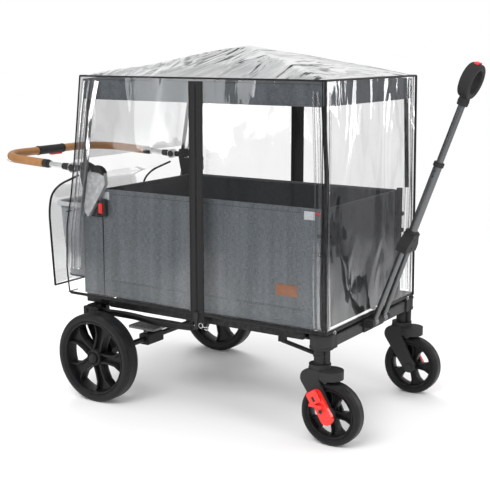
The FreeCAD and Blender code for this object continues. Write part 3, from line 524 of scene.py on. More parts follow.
class Form:
    """A mesh under construction, in millimetres."""

    def __init__(self) -> None:
        """Start with an empty mesh."""
        self.bm = bmesh.new()

    def _place(self, known: set, bevel: float, segments: int, place: Matrix | None) -> "Form":
        """Round the sharp edges of what was just made and put it in place.

        Args:
            known: the vertices that were there before.
            bevel: the rounding, or 0.
            segments: the rounding's steps.
            place: where the new shape goes.

        Returns:
            The form.
        """
        fresh = [v for v in self.bm.verts if v not in known]
        if bevel:
            edges = {e for v in fresh for e in v.link_edges if e.calc_face_angle(0.0) > 0.8}
            bmesh.ops.bevel(self.bm, geom=list(edges), offset=bevel, offset_type="OFFSET", affect="EDGES",
                            segments=segments, profile=0.5, material=-1, clamp_overlap=True)
            fresh = [v for v in self.bm.verts if v not in known]
        if place is not None:
            bmesh.ops.transform(self.bm, matrix=place, verts=fresh)
        return self

    def box(self, low: Point, high: Point, bevel: float = 0.0, segments: int = 2,
            place: Matrix | None = None) -> "Form":
        """A rounded block between two corners.

        Args:
            low: its lowest corner.
            high: its highest corner.
            bevel: the rounding.
            segments: the rounding's steps.
            place: where it goes.

        Returns:
            The form.
        """
        known = set(self.bm.verts)
        low, high = Vector(low), Vector(high)
        bmesh.ops.create_cube(self.bm, size=1.0, matrix=Matrix.LocRotScale((low + high) / 2, None, high - low))
        return self._place(known, bevel, segments, place)

    def rod(self, start: Point, end: Point, radius: float, end_radius: float | None = None, segments: int = 24,
            bevel: float = 0.0, place: Matrix | None = None) -> "Form":
        """A round rod or a cone between two points.

        Args:
            start: the middle of its first end.
            end: the middle of its last end.
            radius: its radius at the start.
            end_radius: its radius at the end, if another.
            segments: its sides.
            bevel: the rounding of its ends.
            place: where it goes.

        Returns:
            The form.
        """
        known = set(self.bm.verts)
        start, end = Vector(start), Vector(end)
        turn = (end - start).to_track_quat("Z", "Y")
        bmesh.ops.create_cone(self.bm, cap_ends=True, segments=segments, radius1=radius,
                              radius2=radius if end_radius is None else end_radius, depth=(end - start).length,
                              matrix=Matrix.LocRotScale((start + end) / 2, turn, None))
        return self._place(known, bevel, 2, place)

    def lathe(self, profile: Sequence[Flat], place: Matrix | None = None, segments: int = 72,
              closed: bool = False) -> "Form":
        """A profile turned about the Z axis.

        Args:
            profile: (radius, height) points.
            place: where it goes.
            segments: its sides.
            closed: whether the profile is a loop.

        Returns:
            The form.
        """
        known = set(self.bm.verts)
        points = [self.bm.verts.new((r, 0, h)) for r, h in profile]
        edges = [self.bm.edges.new(pair) for pair in zip(points, points[1:])]
        if closed:
            edges.append(self.bm.edges.new((points[-1], points[0])))
        bmesh.ops.spin(self.bm, geom=points + edges, cent=(0, 0, 0), axis=(0, 0, 1), angle=2 * math.pi,
                       steps=segments, use_merge=True)
        return self._place(known, 0.0, 1, place)

    def outline(self, points: Sequence[Flat], axis: Axis, at: float) -> bmesh.types.BMFace:
        """A flat face across an axis.

        Args:
            points: the outline, in the two other axes in order.
            axis: the axis that it lies across.
            at: its place on that axis.

        Returns:
            The face.
        """
        corners = []
        for first, last in points:
            corner = [first, last]
            corner.insert(axis.value, at)
            corners.append(self.bm.verts.new(corner))
        return self.bm.faces.new(corners)

    def prism(self, points: Sequence[Flat], axis: Axis, low: float, high: float, bevel: float = 0.0,
              segments: int = 2, place: Matrix | None = None) -> "Form":
        """An outline run along an axis.

        Args:
            points: the outline, in the two other axes in order.
            axis: the axis that it runs along.
            low: where it starts.
            high: where it ends.
            bevel: the rounding of its sharp edges.
            segments: the rounding's steps.
            place: where it goes.

        Returns:
            The form.
        """
        known = set(self.bm.verts)
        face = self.outline(points, axis, low)
        run = Vector((0, 0, 0))
        run[axis.value] = high - low
        made = bmesh.ops.extrude_face_region(self.bm, geom=[face], use_keep_orig=True)["geom"]
        bmesh.ops.translate(self.bm, vec=run, verts=[g for g in made if isinstance(g, bmesh.types.BMVert)])
        bmesh.ops.recalc_face_normals(self.bm, faces=list({f for v in self.bm.verts if v not in known
                                                           for f in v.link_faces}))
        return self._place(known, bevel, segments, place)

    def sweep(self, path: Sequence[Point], radius: float, thick: float | None = None, segments: int = 10,
              closed: bool = False, up: Point | None = None, place: Matrix | None = None) -> "Form":
        """A round or flat section drawn along a path.

        Args:
            path: the points of its middle line.
            radius: half its width.
            thick: half its thickness, if it is flat.
            segments: the sides of the section.
            closed: whether the path is a loop.
            up: the direction of its thickness, for a flat section.
            place: where it goes.

        Returns:
            The form.
        """
        known = set(self.bm.verts)
        points = [Vector(p) for p in path]
        count = len(points)
        size = Vector((radius, radius if thick is None else thick, 1))
        turn, ring, frames, rings = None, None, [], []
        for index, point in enumerate(points):
            after = points[(index + 1) % count] if closed or index < count - 1 else point
            before = points[index - 1] if closed or index else point
            along = (after - before).normalized()
            if up is not None:
                side = along.cross(Vector(up)).normalized()
                turn = Matrix((side, along.cross(side), along)).transposed().to_quaternion()
            elif turn is None:
                turn = along.to_track_quat("Z", "Y")
            else:
                turn = (turn @ Vector((0, 0, 1))).rotation_difference(along) @ turn
            frames.append(Matrix.LocRotScale(point, turn, size))
        for index, here in enumerate(frames):
            if ring is None:
                ring = bmesh.ops.create_circle(self.bm, cap_ends=False, segments=segments, radius=1.0,
                                               matrix=here)["verts"]
                edges = list({e for v in ring for e in v.link_edges})
            else:
                made = bmesh.ops.extrude_edge_only(self.bm, edges=edges)["geom"]
                ring = [g for g in made if isinstance(g, bmesh.types.BMVert)]
                edges = [g for g in made if isinstance(g, bmesh.types.BMEdge)]
                bmesh.ops.transform(self.bm, matrix=here @ frames[index - 1].inverted(), verts=ring)
            rings.append(edges)
        if closed:
            bmesh.ops.bridge_loops(self.bm, edges=rings[0] + rings[-1])
        else:
            for loop in (rings[0], rings[-1]):
                bmesh.ops.holes_fill(self.bm, edges=loop)
        return self._place(known, 0.0, 1, place)

    def divide(self, pitch: float, axes: Iterable[Axis]) -> "Form":
        """Cut the whole mesh into a grid.

        Args:
            pitch: the grid's pitch.
            axes: the axes that it is cut across.

        Returns:
            The form.
        """
        for axis in axes:
            values = [v.co[axis.value] for v in self.bm.verts]
            low, high = min(values), max(values)
            cuts = max(1, round((high - low) / pitch))
            normal = Vector((0, 0, 0))
            normal[axis.value] = 1
            for step in range(1, cuts):
                geometry = [*self.bm.verts, *self.bm.edges, *self.bm.faces]
                bmesh.ops.bisect_plane(self.bm, geom=geometry, dist=0.01, plane_no=normal,
                                       plane_co=normal * (low + (high - low) * step / cuts))
        return self

    def shift(self, move: Callable[[Vector], Vector]) -> "Form":
        """Move each point by what a function gives for it.

        Args:
            move: the function from a point to its move.

        Returns:
            The form.
        """
        for vert in self.bm.verts:
            vert.co += move(vert.co)
        return self

    def thicken(self, wall: float) -> "Form":
        """Give a sheet a wall."""
        bmesh.ops.recalc_face_normals(self.bm, faces=self.bm.faces)
        bmesh.ops.solidify(self.bm, geom=self.bm.faces[:], thickness=wall)
        return self


@dataclass(frozen=True)
class Gather:
    """An anchor and a reach for cloth that would draw up towards the rear as the wagon folds; nothing reads them."""

    anchor: float
    reach: float

    def apply(self, piece: bpy.types.Object) -> None:
        """Give a piece its own copy of its mesh; the fold is not applied.

        Args:
            piece: the piece, whose mesh is final.
        """
        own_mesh(piece)


TUB_GATHER = Gather(-375, 380)
CANOPY_GATHER = Gather(-411, 402)
COVER_GATHER = Gather(-413, 411)


def settle(form: Form, name: str, finish: Finish, body: str, stands_for: Sequence[str] = (),
           outward: Point | None = None, gather: Gather | None = None, angle: float = 38.0) -> bpy.types.Object:
    """Make a form into a finished piece.

    Args:
        form: the mesh under construction.
        name: the piece's name.
        finish: its finish.
        body: the body that it rides on.
        stands_for: the nodes that it replaces.
        outward: where an open sheet's faces point.
        gather: the gather whose apply is called on the piece, which only gives it its own mesh.
        angle: the angle past which an edge stays sharp, in degrees.

    Returns:
        The piece.
    """
    mesh_form = form.bm
    bmesh.ops.remove_doubles(mesh_form, verts=mesh_form.verts, dist=0.01)
    bmesh.ops.recalc_face_normals(mesh_form, faces=mesh_form.faces)
    if outward is not None and sum((f.normal.dot(Vector(outward)) * f.calc_area() for f in mesh_form.faces)) < 0:
        bmesh.ops.reverse_faces(mesh_form, faces=mesh_form.faces)
    bmesh.ops.scale(mesh_form, vec=(MM, MM, MM), verts=mesh_form.verts)
    mesh = bpy.data.meshes.new(name)
    mesh_form.to_mesh(mesh)
    mesh_form.free()
    mesh.shade_smooth()
    mesh.set_sharp_from_angle(angle=math.radians(angle))
    piece = bpy.data.objects.new(name, mesh)
    bpy.context.scene.collection.objects.link(piece)
    mesh.materials.append(finish.material())
    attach(piece, body)
    if stands_for:
        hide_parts(*stands_for)
    if gather:
        gather.apply(piece)
    LOG.info("%s on %s, %d faces", name, body, len(mesh.polygons))
    return piece


def dress(finish: Finish, *nodes: str) -> None:
    """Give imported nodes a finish.

    Args:
        finish: the finish.
        *nodes: the nodes.
    """
    for name in nodes:
        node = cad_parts[name]
        node.data.materials.clear()
        node.data.materials.append(finish.material())
        LOG.info("%s dressed with %s", name, finish.name)


def rounded(points: Sequence[Point], radius: float, steps: int = 5, closed: bool = False) -> list[Vector]:
    """A line with its corners rounded.

    Args:
        points: the line's corners.
        radius: how far from a corner the rounding starts.
        steps: the points in each rounding.
        closed: whether the line is a loop.

    Returns:
        The rounded line.
    """
    corners = [Vector(p) for p in points]
    made: list[Vector] = []
    for index, corner in enumerate(corners):
        if not closed and index in (0, len(corners) - 1):
            made.append(corner)
            continue
        before, after = corners[index - 1], corners[(index + 1) % len(corners)]
        start = corner + (before - corner).normalized() * min(radius, (before - corner).length * 0.45)
        end = corner + (after - corner).normalized() * min(radius, (after - corner).length * 0.45)
        for step in range(steps + 1):
            share = step / steps
            made.append(start.lerp(corner, share).lerp(corner.lerp(end, share), share))
    return made


def swell(point: Vector, across: float, along: float, height: float, seed: float) -> float:
    """A slow deterministic swell over a panel.

    Args:
        point: the place.
        across: the length of a swell along X and Y.
        along: the length of a swell along Z.
        height: its height.
        seed: what tells one panel from another.

    Returns:
        The swell at the point.
    """
    return height * noise.noise(Vector((point.x / across + seed, point.y / across, point.z / along)))


def stitches(form: Form, path: Sequence[Point], pitch: float = 5.0, radius: float = 0.45) -> None:
    """A run of short stitches along a straight or rounded line.

    Args:
        form: the form they are added to.
        path: the line.
        pitch: from one stitch to the next.
        radius: the thread's radius.
    """
    points = [Vector(p) for p in path]
    for start, end in zip(points, points[1:]):
        run = end - start
        count = max(1, round(run.length / pitch))
        for index in range(count):
            first = start + run * ((index + 0.15) / count)
            last = start + run * ((index + 0.85) / count)
            form.rod(first, last, radius, segments=5)


# ---------------------------------------------------------------- the studio


@dataclass
class Studio:
    """The floor, the soft light and the camera."""

    eye: Point = (1.696, -2.643, 1.060)
    tilt: Point = (79.21, 0.0, 32.9)
    lens: float = 76.9
    lamps: tuple = (((-2.4, -3.5, 0.9), (0.7, 1.0), 12.0), ((2.9, 3.6, 1.1), (0.8, 1.2), 16.0),
                    ((0.6, -3.4, 3.4), (2.4, 1.4), 100.0), ((-2.4, 2.2, 3.0), (2.2, 1.6), 60.0),
                    ((3.4, -1.2, 1.4), (0.9, 2.0), 25.0))

    def build(self) -> None:
        """Make the floor, the lamps, the world and the camera."""
        self.floor()
        self.world()
        for index, (place, size, power) in enumerate(self.lamps):
            light = bpy.data.lights.new(f"soft_box_{index}", "AREA")
            light.shape, light.size, light.size_y, light.energy = "RECTANGLE", size[0], size[1], power
            lamp = bpy.data.objects.new(light.name, light)
            lamp.location = place
            lamp.rotation_euler = (Vector((0, 0, 0.5)) - Vector(place)).to_track_quat("-Z", "Y").to_euler()
            lamp.visible_camera = False
            lamp.visible_glossy = index not in (2, 3)
            bpy.context.scene.collection.objects.link(lamp)
        data = bpy.data.cameras.new("view")
        data.lens, data.sensor_width = self.lens, 36.0
        camera = bpy.data.objects.new("view", data)
        camera.location = self.eye
        camera.rotation_euler = [math.radians(a) for a in self.tilt]
        bpy.context.scene.collection.objects.link(camera)
        bpy.context.scene.camera = camera
        bpy.context.scene.view_settings.view_transform = "Standard"

    def floor(self) -> None:
        """A wide pale floor."""
        bm = bmesh.new()
        bmesh.ops.create_grid(bm, x_segments=2, y_segments=2, size=14.0)
        mesh = bpy.data.meshes.new("studio_floor")
        bm.to_mesh(mesh)
        bm.free()
        material = bpy.data.materials.new("pale_floor")
        material.use_nodes = True
        shader = material.node_tree.nodes["Principled BSDF"]
        tree = Tree(material.node_tree)
        out = tree.add("VectorMath", {0: tree.add("TexCoord").outputs["Object"]}, operation="LENGTH").outputs["Value"]
        tree.feed(shader.inputs["Alpha"], tree.ramp(out, 1.3, 3.4, 1.0, 0.0))
        shader.inputs["Base Color"].default_value = (0.92, 0.92, 0.92, 1)
        shader.inputs["Roughness"].default_value = 0.7
        shader.inputs["Specular IOR Level"].default_value = 0.2
        mesh.materials.append(material)
        piece = bpy.data.objects.new("studio_floor", mesh)
        bpy.context.scene.collection.objects.link(piece)

    def world(self) -> None:
        """White to the eye, and a soft graded room to what mirrors it."""
        world = bpy.data.worlds.new("studio")
        bpy.context.scene.world = world
        world.use_nodes = True
        tree = Tree(world.node_tree)
        shader = world.node_tree.nodes["Background"]
        way = tree.add("TexCoord").outputs["Generated"]
        up = tree.add("SeparateXYZ", {0: way}).outputs[2]
        room = tree.mix(tree.ramp(up, -0.02, 0.26), (0.3, 0.3, 0.31, 1), (0.95, 0.95, 0.95, 1))
        folds = tree.ramp(tree.noise(tree.add("Mapping", {"Vector": way, "Scale": (1, 1, 0.6)}).outputs[0], 5.5, 1.0,
                                     0.8), 0.36, 0.52)
        room = tree.mix(folds, (0.1, 0.1, 0.105, 1), room)
        path = tree.add("LightPath")
        plain = tree.math("MAXIMUM", path.outputs["Is Camera Ray"], path.outputs["Is Diffuse Ray"])
        tree.feed(shader.inputs["Color"], tree.mix(plain, room, (1, 1, 1, 1)))
        shader.inputs["Strength"].default_value = 1.0


# ---------------------------------------------------------------- running gear


@dataclass
class Wheel:
    """A tyre on a rim of five broad ribbed spokes, with its outer face away from the wagon."""

    name: str
    side: int
    centre: Point
    radius: float
    width: float
    rim: float
    hub: float
    rubber: Finish
    spokes: int = 5

    def build(self) -> None:
        """Make the tyre and the rim."""
        place = Matrix.Translation(Vector(self.centre)) @ Matrix.Rotation(math.radians(-90 * self.side), 4, "X")
        body = "{0}_wheel_{1}".format(*self.name.split("_"))
        settle(self.tyre(place), f"{self.name}_tyre_rubber", self.rubber, body, [f"{self.name}_tyre"])
        settle(self.rim_form(place), f"{self.name}_spoked_rim", RIM, body, [f"{self.name}_rim"], angle=30)

    def tyre(self, place: Matrix) -> Form:
        """The tyre: a low crown, a groove at each shoulder and stepped walls.

        Args:
            place: where the wheel stands.

        Returns:
            The form.
        """
        half, outer, bead = self.width / 2, self.radius, self.rim + 0.3
        profile = [(outer, 0), (outer, half * 0.42), (outer - 1.2, half * 0.45), (outer - 1.2, half * 0.5),
                   (outer, half * 0.53), (outer - 0.5, half - 7), (outer - 2.6, half - 3.4), (outer - 6.5,
                                                                                              half - 0.9),
                   (outer - 10, half), (bead + 8, half), (bead + 5, half - 0.7), (bead + 4.2, half - 2.4),
                   (bead + 2, half - 2.6), (bead, half - 5)]
        return Form().lathe(profile + [(r, -h) for r, h in profile[:0:-1]], place, 96, closed=True)

    def rim_form(self, place: Matrix) -> Form:
        """The rim: its barrel, the spokes with a rib down each side, and the capped hub.

        Args:
            place: where the wheel stands.

        Returns:
            The form.
        """
        half, edge = self.width / 2 - 4, self.rim
        form = Form()
        form.lathe([(edge, -half), (edge, half), (edge - 3, half + 1), (edge - 6, half - 1), (edge - 8, half - 7),
                    (edge - 8.5, 0), (edge - 8, 7 - half), (edge - 4, -half)], place, 96, closed=True)
        hub = self.hub
        form.lathe([(0.5, -half), (hub - 2, -half), (hub, 2 - half), (hub, half - 5), (hub - 2, half - 3),
                    (hub * 0.8, half - 2), (hub * 0.74, half - 5), (hub * 0.66, half - 5), (hub * 0.6, half + 1),
                    (hub * 0.45, half + 3), (0.5, half + 3.4)], place, 48)
        reach = edge - 6
        narrow, wide = hub * 0.62, edge * 0.36
        side_line = [(hub * 0.7, narrow), (reach * 0.45, narrow * 0.95), (reach * 0.7, narrow * 1.15),
                     (reach * 0.88, wide * 0.72), (reach * 0.985, wide)]
        for index in range(self.spokes):
            turn = place @ Matrix.Rotation(2 * math.pi * index / self.spokes, 4, "Z")
            web = [(x, y) for x, y in side_line] + [(x, -y) for x, y in side_line[::-1]]
            form.prism(web, Axis.Z, 3 - half * 0.6, half * 0.15, 1.2, place=turn)
            for flip in (1, -1):
                outer = [(x, y * flip) for x, y in side_line]
                inner = [(x, (y - narrow * 0.42) * flip) for x, y in side_line]
                form.prism(outer + inner[::-1], Axis.Z, -half * 0.7, half * 0.62, 1.4, place=turn)
        return form


@dataclass
class RunningGear:
    """The four wheels, the small parts on the casters and the levers, and the brake."""

    rear_centre: Point = (-334, 324, 136)
    front_centre: Point = (436, 262, 88)
    swivel: Flat = (396, 262)

    def build(self) -> None:
        """Make the wheels and dress the forks, levers and brake."""
        for side, sign in SIDES.items():
            x, y, z = self.rear_centre
            Wheel(f"rear_{side}", sign, (x, y * sign, z), 136, 58, 112, 25, RUBBER).build()
            x, y, z = self.front_centre
            Wheel(f"front_{side}", sign, (x, y * sign, z), 88, 43, 69, 16, FRONT_RUBBER).build()
            self.caster_details(side, sign)
            self.lever_details(side, sign)
            dress(PLASTIC, f"caster_fork_{side}")
            dress(RED, f"wheel_lock_{side}")
        dress(STEEL, "rear_axle", "lower_links")
        dress(PLASTIC, "brake_housing")
        dress(PEDAL, "brake_pedal")
        self.pedal_tread()

    def caster_details(self, side: str, sign: int) -> None:
        """Bolt heads on the fork, and rings on the swivel.

        Args:
            side: left or right.
            sign: its sign along Y.
        """
        x, y = self.swivel
        form = Form()
        for face in (y + 30.4, y - 30.4):
            out = 1 if face > y else -1
            start, end = sorted((face * sign, (face + 3 * out) * sign))
            form.rod((428, start, 186), (428, end, 186), 9, segments=32, bevel=1)
            form.rod((428, start, 186), (428, end + 0.8 * (1 if end > 0 else 0), 186), 4.5, segments=6, bevel=0.5)
            if out < 0:
                form.rod((436, start, 88), (436, end, 88), 10, segments=32, bevel=1)
        for height, radius in ((209, 29), (219, 26)):
            form.lathe([(radius, height - 1.4), (radius + 2.4, height - 1), (radius + 2.4, height + 1),
                        (radius, height + 1.4)], Matrix.Translation((x, y * sign, 0)), 48, closed=True)
        settle(form, f"caster_fittings_{side}", PLASTIC, f"caster_{side}")

    def lever_details(self, side: str, sign: int) -> None:
        """The slot, the round hole and the mark on the foot lever.

        Args:
            side: left or right.
            sign: its sign along Y.
        """
        low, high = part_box(f"wheel_lock_{side}")
        low, high = low / MM, high / MM
        face = high.y if sign > 0 else low.y
        way = Vector((436 - 378, 0, 88 - 184)).normalized()
        turn = Matrix.Rotation(math.atan2(way.x, -way.z), 4, Vector((0, -1, 0)))
        knee = Vector((378, 0, 184))
        form = Form()
        raised = face + 4 * sign
        cap = Form()
        place = Matrix.Translation(knee + way * 50 + Vector((0, face, 0))) @ turn
        cap.box((-17, min(-3 * sign, 4 * sign), -19), (17, max(-3 * sign, 4 * sign), 17), 3.5, 4, place=place)
        settle(cap, f"lever_cap_{side}", RED, f"lock_{side}")
        place = Matrix.Translation(knee + way * 55 + Vector((0, raised, 0))) @ turn
        form.box((-3.2, -1.2, -7), (3.2, 1.0, 7), 0.6, place=place)
        hole = knee + way * 93
        start, end = sorted((face - 1.2 * sign, face + 0.7 * sign))
        form.rod((hole.x, start, hole.z), (hole.x, end, hole.z), 5.5, segments=32, bevel=0.6)
        settle(form, f"lever_marks_{side}", PLASTIC, f"lock_{side}")

    def pedal_tread(self) -> None:
        """Crossed ribs on the foot pedal."""
        low, high = (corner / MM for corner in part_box("brake_pedal"))
        form = Form()
        top, left, right = high.z, low.y + 8, high.y - 8
        for index in range(7):
            x = low.x + 6 + index * 14.5
            form.box((x, left, top - 0.6), (x + 4, min(right, left + 68), top + 1.2), 0.5)
        for index in range(4):
            y = left + 4 + index * 18
            form.box((low.x + 4, y, top - 0.6), (high.x - 4, y + 3.4, top + 1.0), 0.5)
        settle(form, "pedal_tread", PEDAL, "pedal")


# ---------------------------------------------------------------- frame


@dataclass
class Chassis:
    """The posts, legs, castings, rails and brackets, and the small parts on them."""

    bolt_places: tuple[Flat, ...] = ((-406, 262), (-374, 262), (-336, 163))
    bolt_faces: Flat = (289, 292)
    bolt_radius: float = 6.0

    def build(self) -> None:
        """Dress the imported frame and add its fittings."""
        dress(STEEL, "rear_posts", "rear_cross_tubes", "rear_legs", "front_braces", "front_posts")
        dress(RAIL, "front_beam", "floor_frame_rear", "floor_frame_front")
        dress(PLASTIC, "corner_castings", "handle_mount", "rear_canopy_bow", "front_canopy_bow")
        self.bracket_covers()
        self.fold_bars()
        # The handle brackets get a painted reflection: light grey in place of the clear cover's reflection over black
        # plastic.
        dress(BRACKET_PAINTED_REFLECTION, "handle_brackets")
        dress(RED, "fold_latch_left", "fold_latch_right")
        for side, sign in SIDES.items():
            self.casting_rings(side, sign)
            self.leg_bolts(side, sign)

    def bracket_covers(self) -> None:
        """The black caps, spines and latch housings on the push bar's brackets."""
        form = Form()
        cap = [(-400, 704), (-384, 706), (-370, 704.5), (-358, 698), (-351, 688), (-349.5, 677), (-356, 679),
               (-366, 684), (-400, 687)]
        spine = [(-441, 712), (-420, 714), (-398, 706), (-398, 690), (-419, 688), (-421, 650), (-424, 634),
                 (-431, 634),
                 (-437, 655), (-442, 684)]
        housing = [(-366, 606), (-352, 604), (-352, 552), (-404, 548), (-404, 553)]
        for sign in SIDES.values():
            for outline, near, far in ((cap, 241, 262.5), (spine, 241, 263), (housing, 240.6, 251)):
                low, high = sorted((near * sign, far * sign))
                form.prism(outline, Axis.Y, low, high, 2.2, 3)
            low, high = sorted((241.2 * sign, 243.4 * sign))
            form.prism([(-430, 684), (-352, 684), (-349, 650), (-385, 594), (-416, 549), (-427, 562)], Axis.Y,
                       low, high,
                       0.8)
            for x, z, size in ((-392, 696, 4.5), (-430, 700, 4.5)):
                start, end = sorted((262 * sign, 264.5 * sign))
                form.rod((x, start, z), (x, end, z), size, segments=24, bevel=0.8)
            low, high = sorted((246 * sign, 258 * sign))
            form.box((-462, low, 685), (-436, high, 703), 3, 3)
            for x in (-379, -353.5):
                low, high = sorted((250 * sign, 257 * sign))
                form.box((x, low, 556), (x + 3, high, 600), 1)
        settle(form, "bracket_covers", PLASTIC, "rear_frame", ["bracket_caps"], angle=30)

    def fold_bars(self) -> None:
        """The bowed bars that lie along the lower links."""
        form = Form()
        for sign in SIDES.values():
            line = rounded([(-371, 262 * sign, 258), (-250, 262 * sign, 262), (-150, 262 * sign, 252),
                            (-30, 261 * sign, 257)], 60, 6)
            form.sweep(line, 4.0, 10.5, 12, up=(0, 0, 1))
        settle(form, "fold_bars", STEEL, "fold_links")

    def casting_rings(self, side: str, sign: int) -> None:
        """The rings and the cap on a corner casting.

        Args:
            side: left or right.
            sign: its sign along Y.
        """
        place = Matrix.Translation((398, 258 * sign, 0))
        form = Form()
        form.lathe([(31.6, 296), (34, 296.5), (34, 300), (31.6, 300.5)], place, 64, closed=True)
        form.lathe([(31.6, 264), (33.4, 264.5), (33.4, 268), (31.6, 268.5)], place, 64, closed=True)
        form.lathe([(0.5, 302.8), (24, 302.8), (24, 305), (21, 306.5), (0.5, 306.8)], place, 48)
        form.lathe([(16.8, 240), (19, 240.6), (19, 246), (16.8, 246.6)], Matrix.Translation((396, 262 * sign, 0)), 48,
                   closed=True)
        settle(form, f"casting_rings_{side}", PLASTIC, "front_frame")

    def leg_bolts(self, side: str, sign: int) -> None:
        """Bolt heads on a rear leg.

        Args:
            side: left or right.
            sign: its sign along Y.
        """
        form = Form()
        start, end = sorted(face * sign for face in self.bolt_faces)
        for x, z in self.bolt_places:
            form.rod((x, start, z), (x, end, z), self.bolt_radius, segments=24, bevel=0.8)
        settle(form, f"leg_bolts_{side}", STEEL, "rear_frame")


# ---------------------------------------------------------------- cloth


@dataclass
class Floor:
    """The two floor pads."""

    half_width: float = 222.0
    low: float = 299.2
    high: float = 317.0
    inner: float = 8.0
    outer: float = 340.0
    swell_cap: float = 5.0
    ceiling: float = 321.5
    side_limit: float = 223.6
    end_limits: Flat = (4.5, 343.5)
    voxel: float = 6.0
    pressure: float = 4.0
    cloth_steps: int = 14
    channel_shares: tuple[float, ...] = (0.25, 0.5, 0.75)
    channel_from: float = 308.0
    channel_depth: float = 3.5
    channel_width: float = 6.0

    def build(self) -> None:
        """Make a pad on each floor half."""
        for half, sign in (("rear", -1), ("front", 1)):
            start, end = sorted((self.inner * sign, self.outer * sign))
            form = Form().box((start, -self.half_width, self.low), (end, self.half_width, self.high), 5, 3)
            form.divide(24, (Axis.X, Axis.Y))
            pad = settle(form, f"floor_cushion_{half}", FLOOR_CLOTH, f"floor_{half}", [f"floor_pad_{half}"])
            self.puff(pad)
            self.channels(pad, sign)

    def puff(self, pad: bpy.types.Object) -> None:
        """Swell a pad as cloth round its filling, within a cap.

        Args:
            pad: the pad.
        """
        scene = bpy.context.scene
        remesh = pad.modifiers.new("even_mesh", "REMESH")
        remesh.mode, remesh.voxel_size = "VOXEL", self.voxel * MM
        self.bake(pad)
        before = [v.co.copy() for v in pad.data.vertices]
        cloth = pad.modifiers.new("filling", "CLOTH")
        cloth.settings.use_pressure = True
        cloth.settings.uniform_pressure_force = self.pressure
        cloth.settings.effector_weights.gravity = 0.0
        for step in range(1, self.cloth_steps + 1):
            scene.frame_set(step)
        self.bake(pad)
        scene.frame_set(1)
        cap, ceiling, side_limit = self.swell_cap * MM, self.ceiling * MM, self.side_limit * MM
        nearest, farthest = (limit * MM for limit in self.end_limits)
        for vert, start in zip(pad.data.vertices, before):
            move = vert.co - start
            if move.length > cap:
                vert.co = start + move.normalized() * cap
            side = 1 if start.x > 0 else -1
            vert.co.x = side * max(nearest, min(farthest, abs(vert.co.x)))
            vert.co.y = max(-side_limit, min(side_limit, vert.co.y))
            vert.co.z = max(self.low * MM, min(ceiling, vert.co.z))
        pad.data.shade_smooth()

    def bake(self, pad: bpy.types.Object) -> None:
        """Turn a pad's modifiers into its mesh."""
        graph = bpy.context.evaluated_depsgraph_get()
        made = bpy.data.meshes.new_from_object(pad.evaluated_get(graph))
        pad.modifiers.clear()
        pad.data = made
        if not made.materials:
            made.materials.append(FLOOR_CLOTH.material())

    def channels(self, pad: bpy.types.Object, sign: int) -> None:
        """Press the sewn channels into a pad.

        Args:
            pad: the pad.
            sign: its sign along X.
        """
        lines = [sign * MM * (self.inner + (self.outer - self.inner) * share) for share in self.channel_shares]
        for vert in pad.data.vertices:
            if vert.co.z > self.channel_from * MM:
                near = min(abs(vert.co.x - line) for line in lines)
                vert.co.z -= self.channel_depth * MM * math.exp(-((near / (self.channel_width * MM)) ** 2))
        pad.data.update()


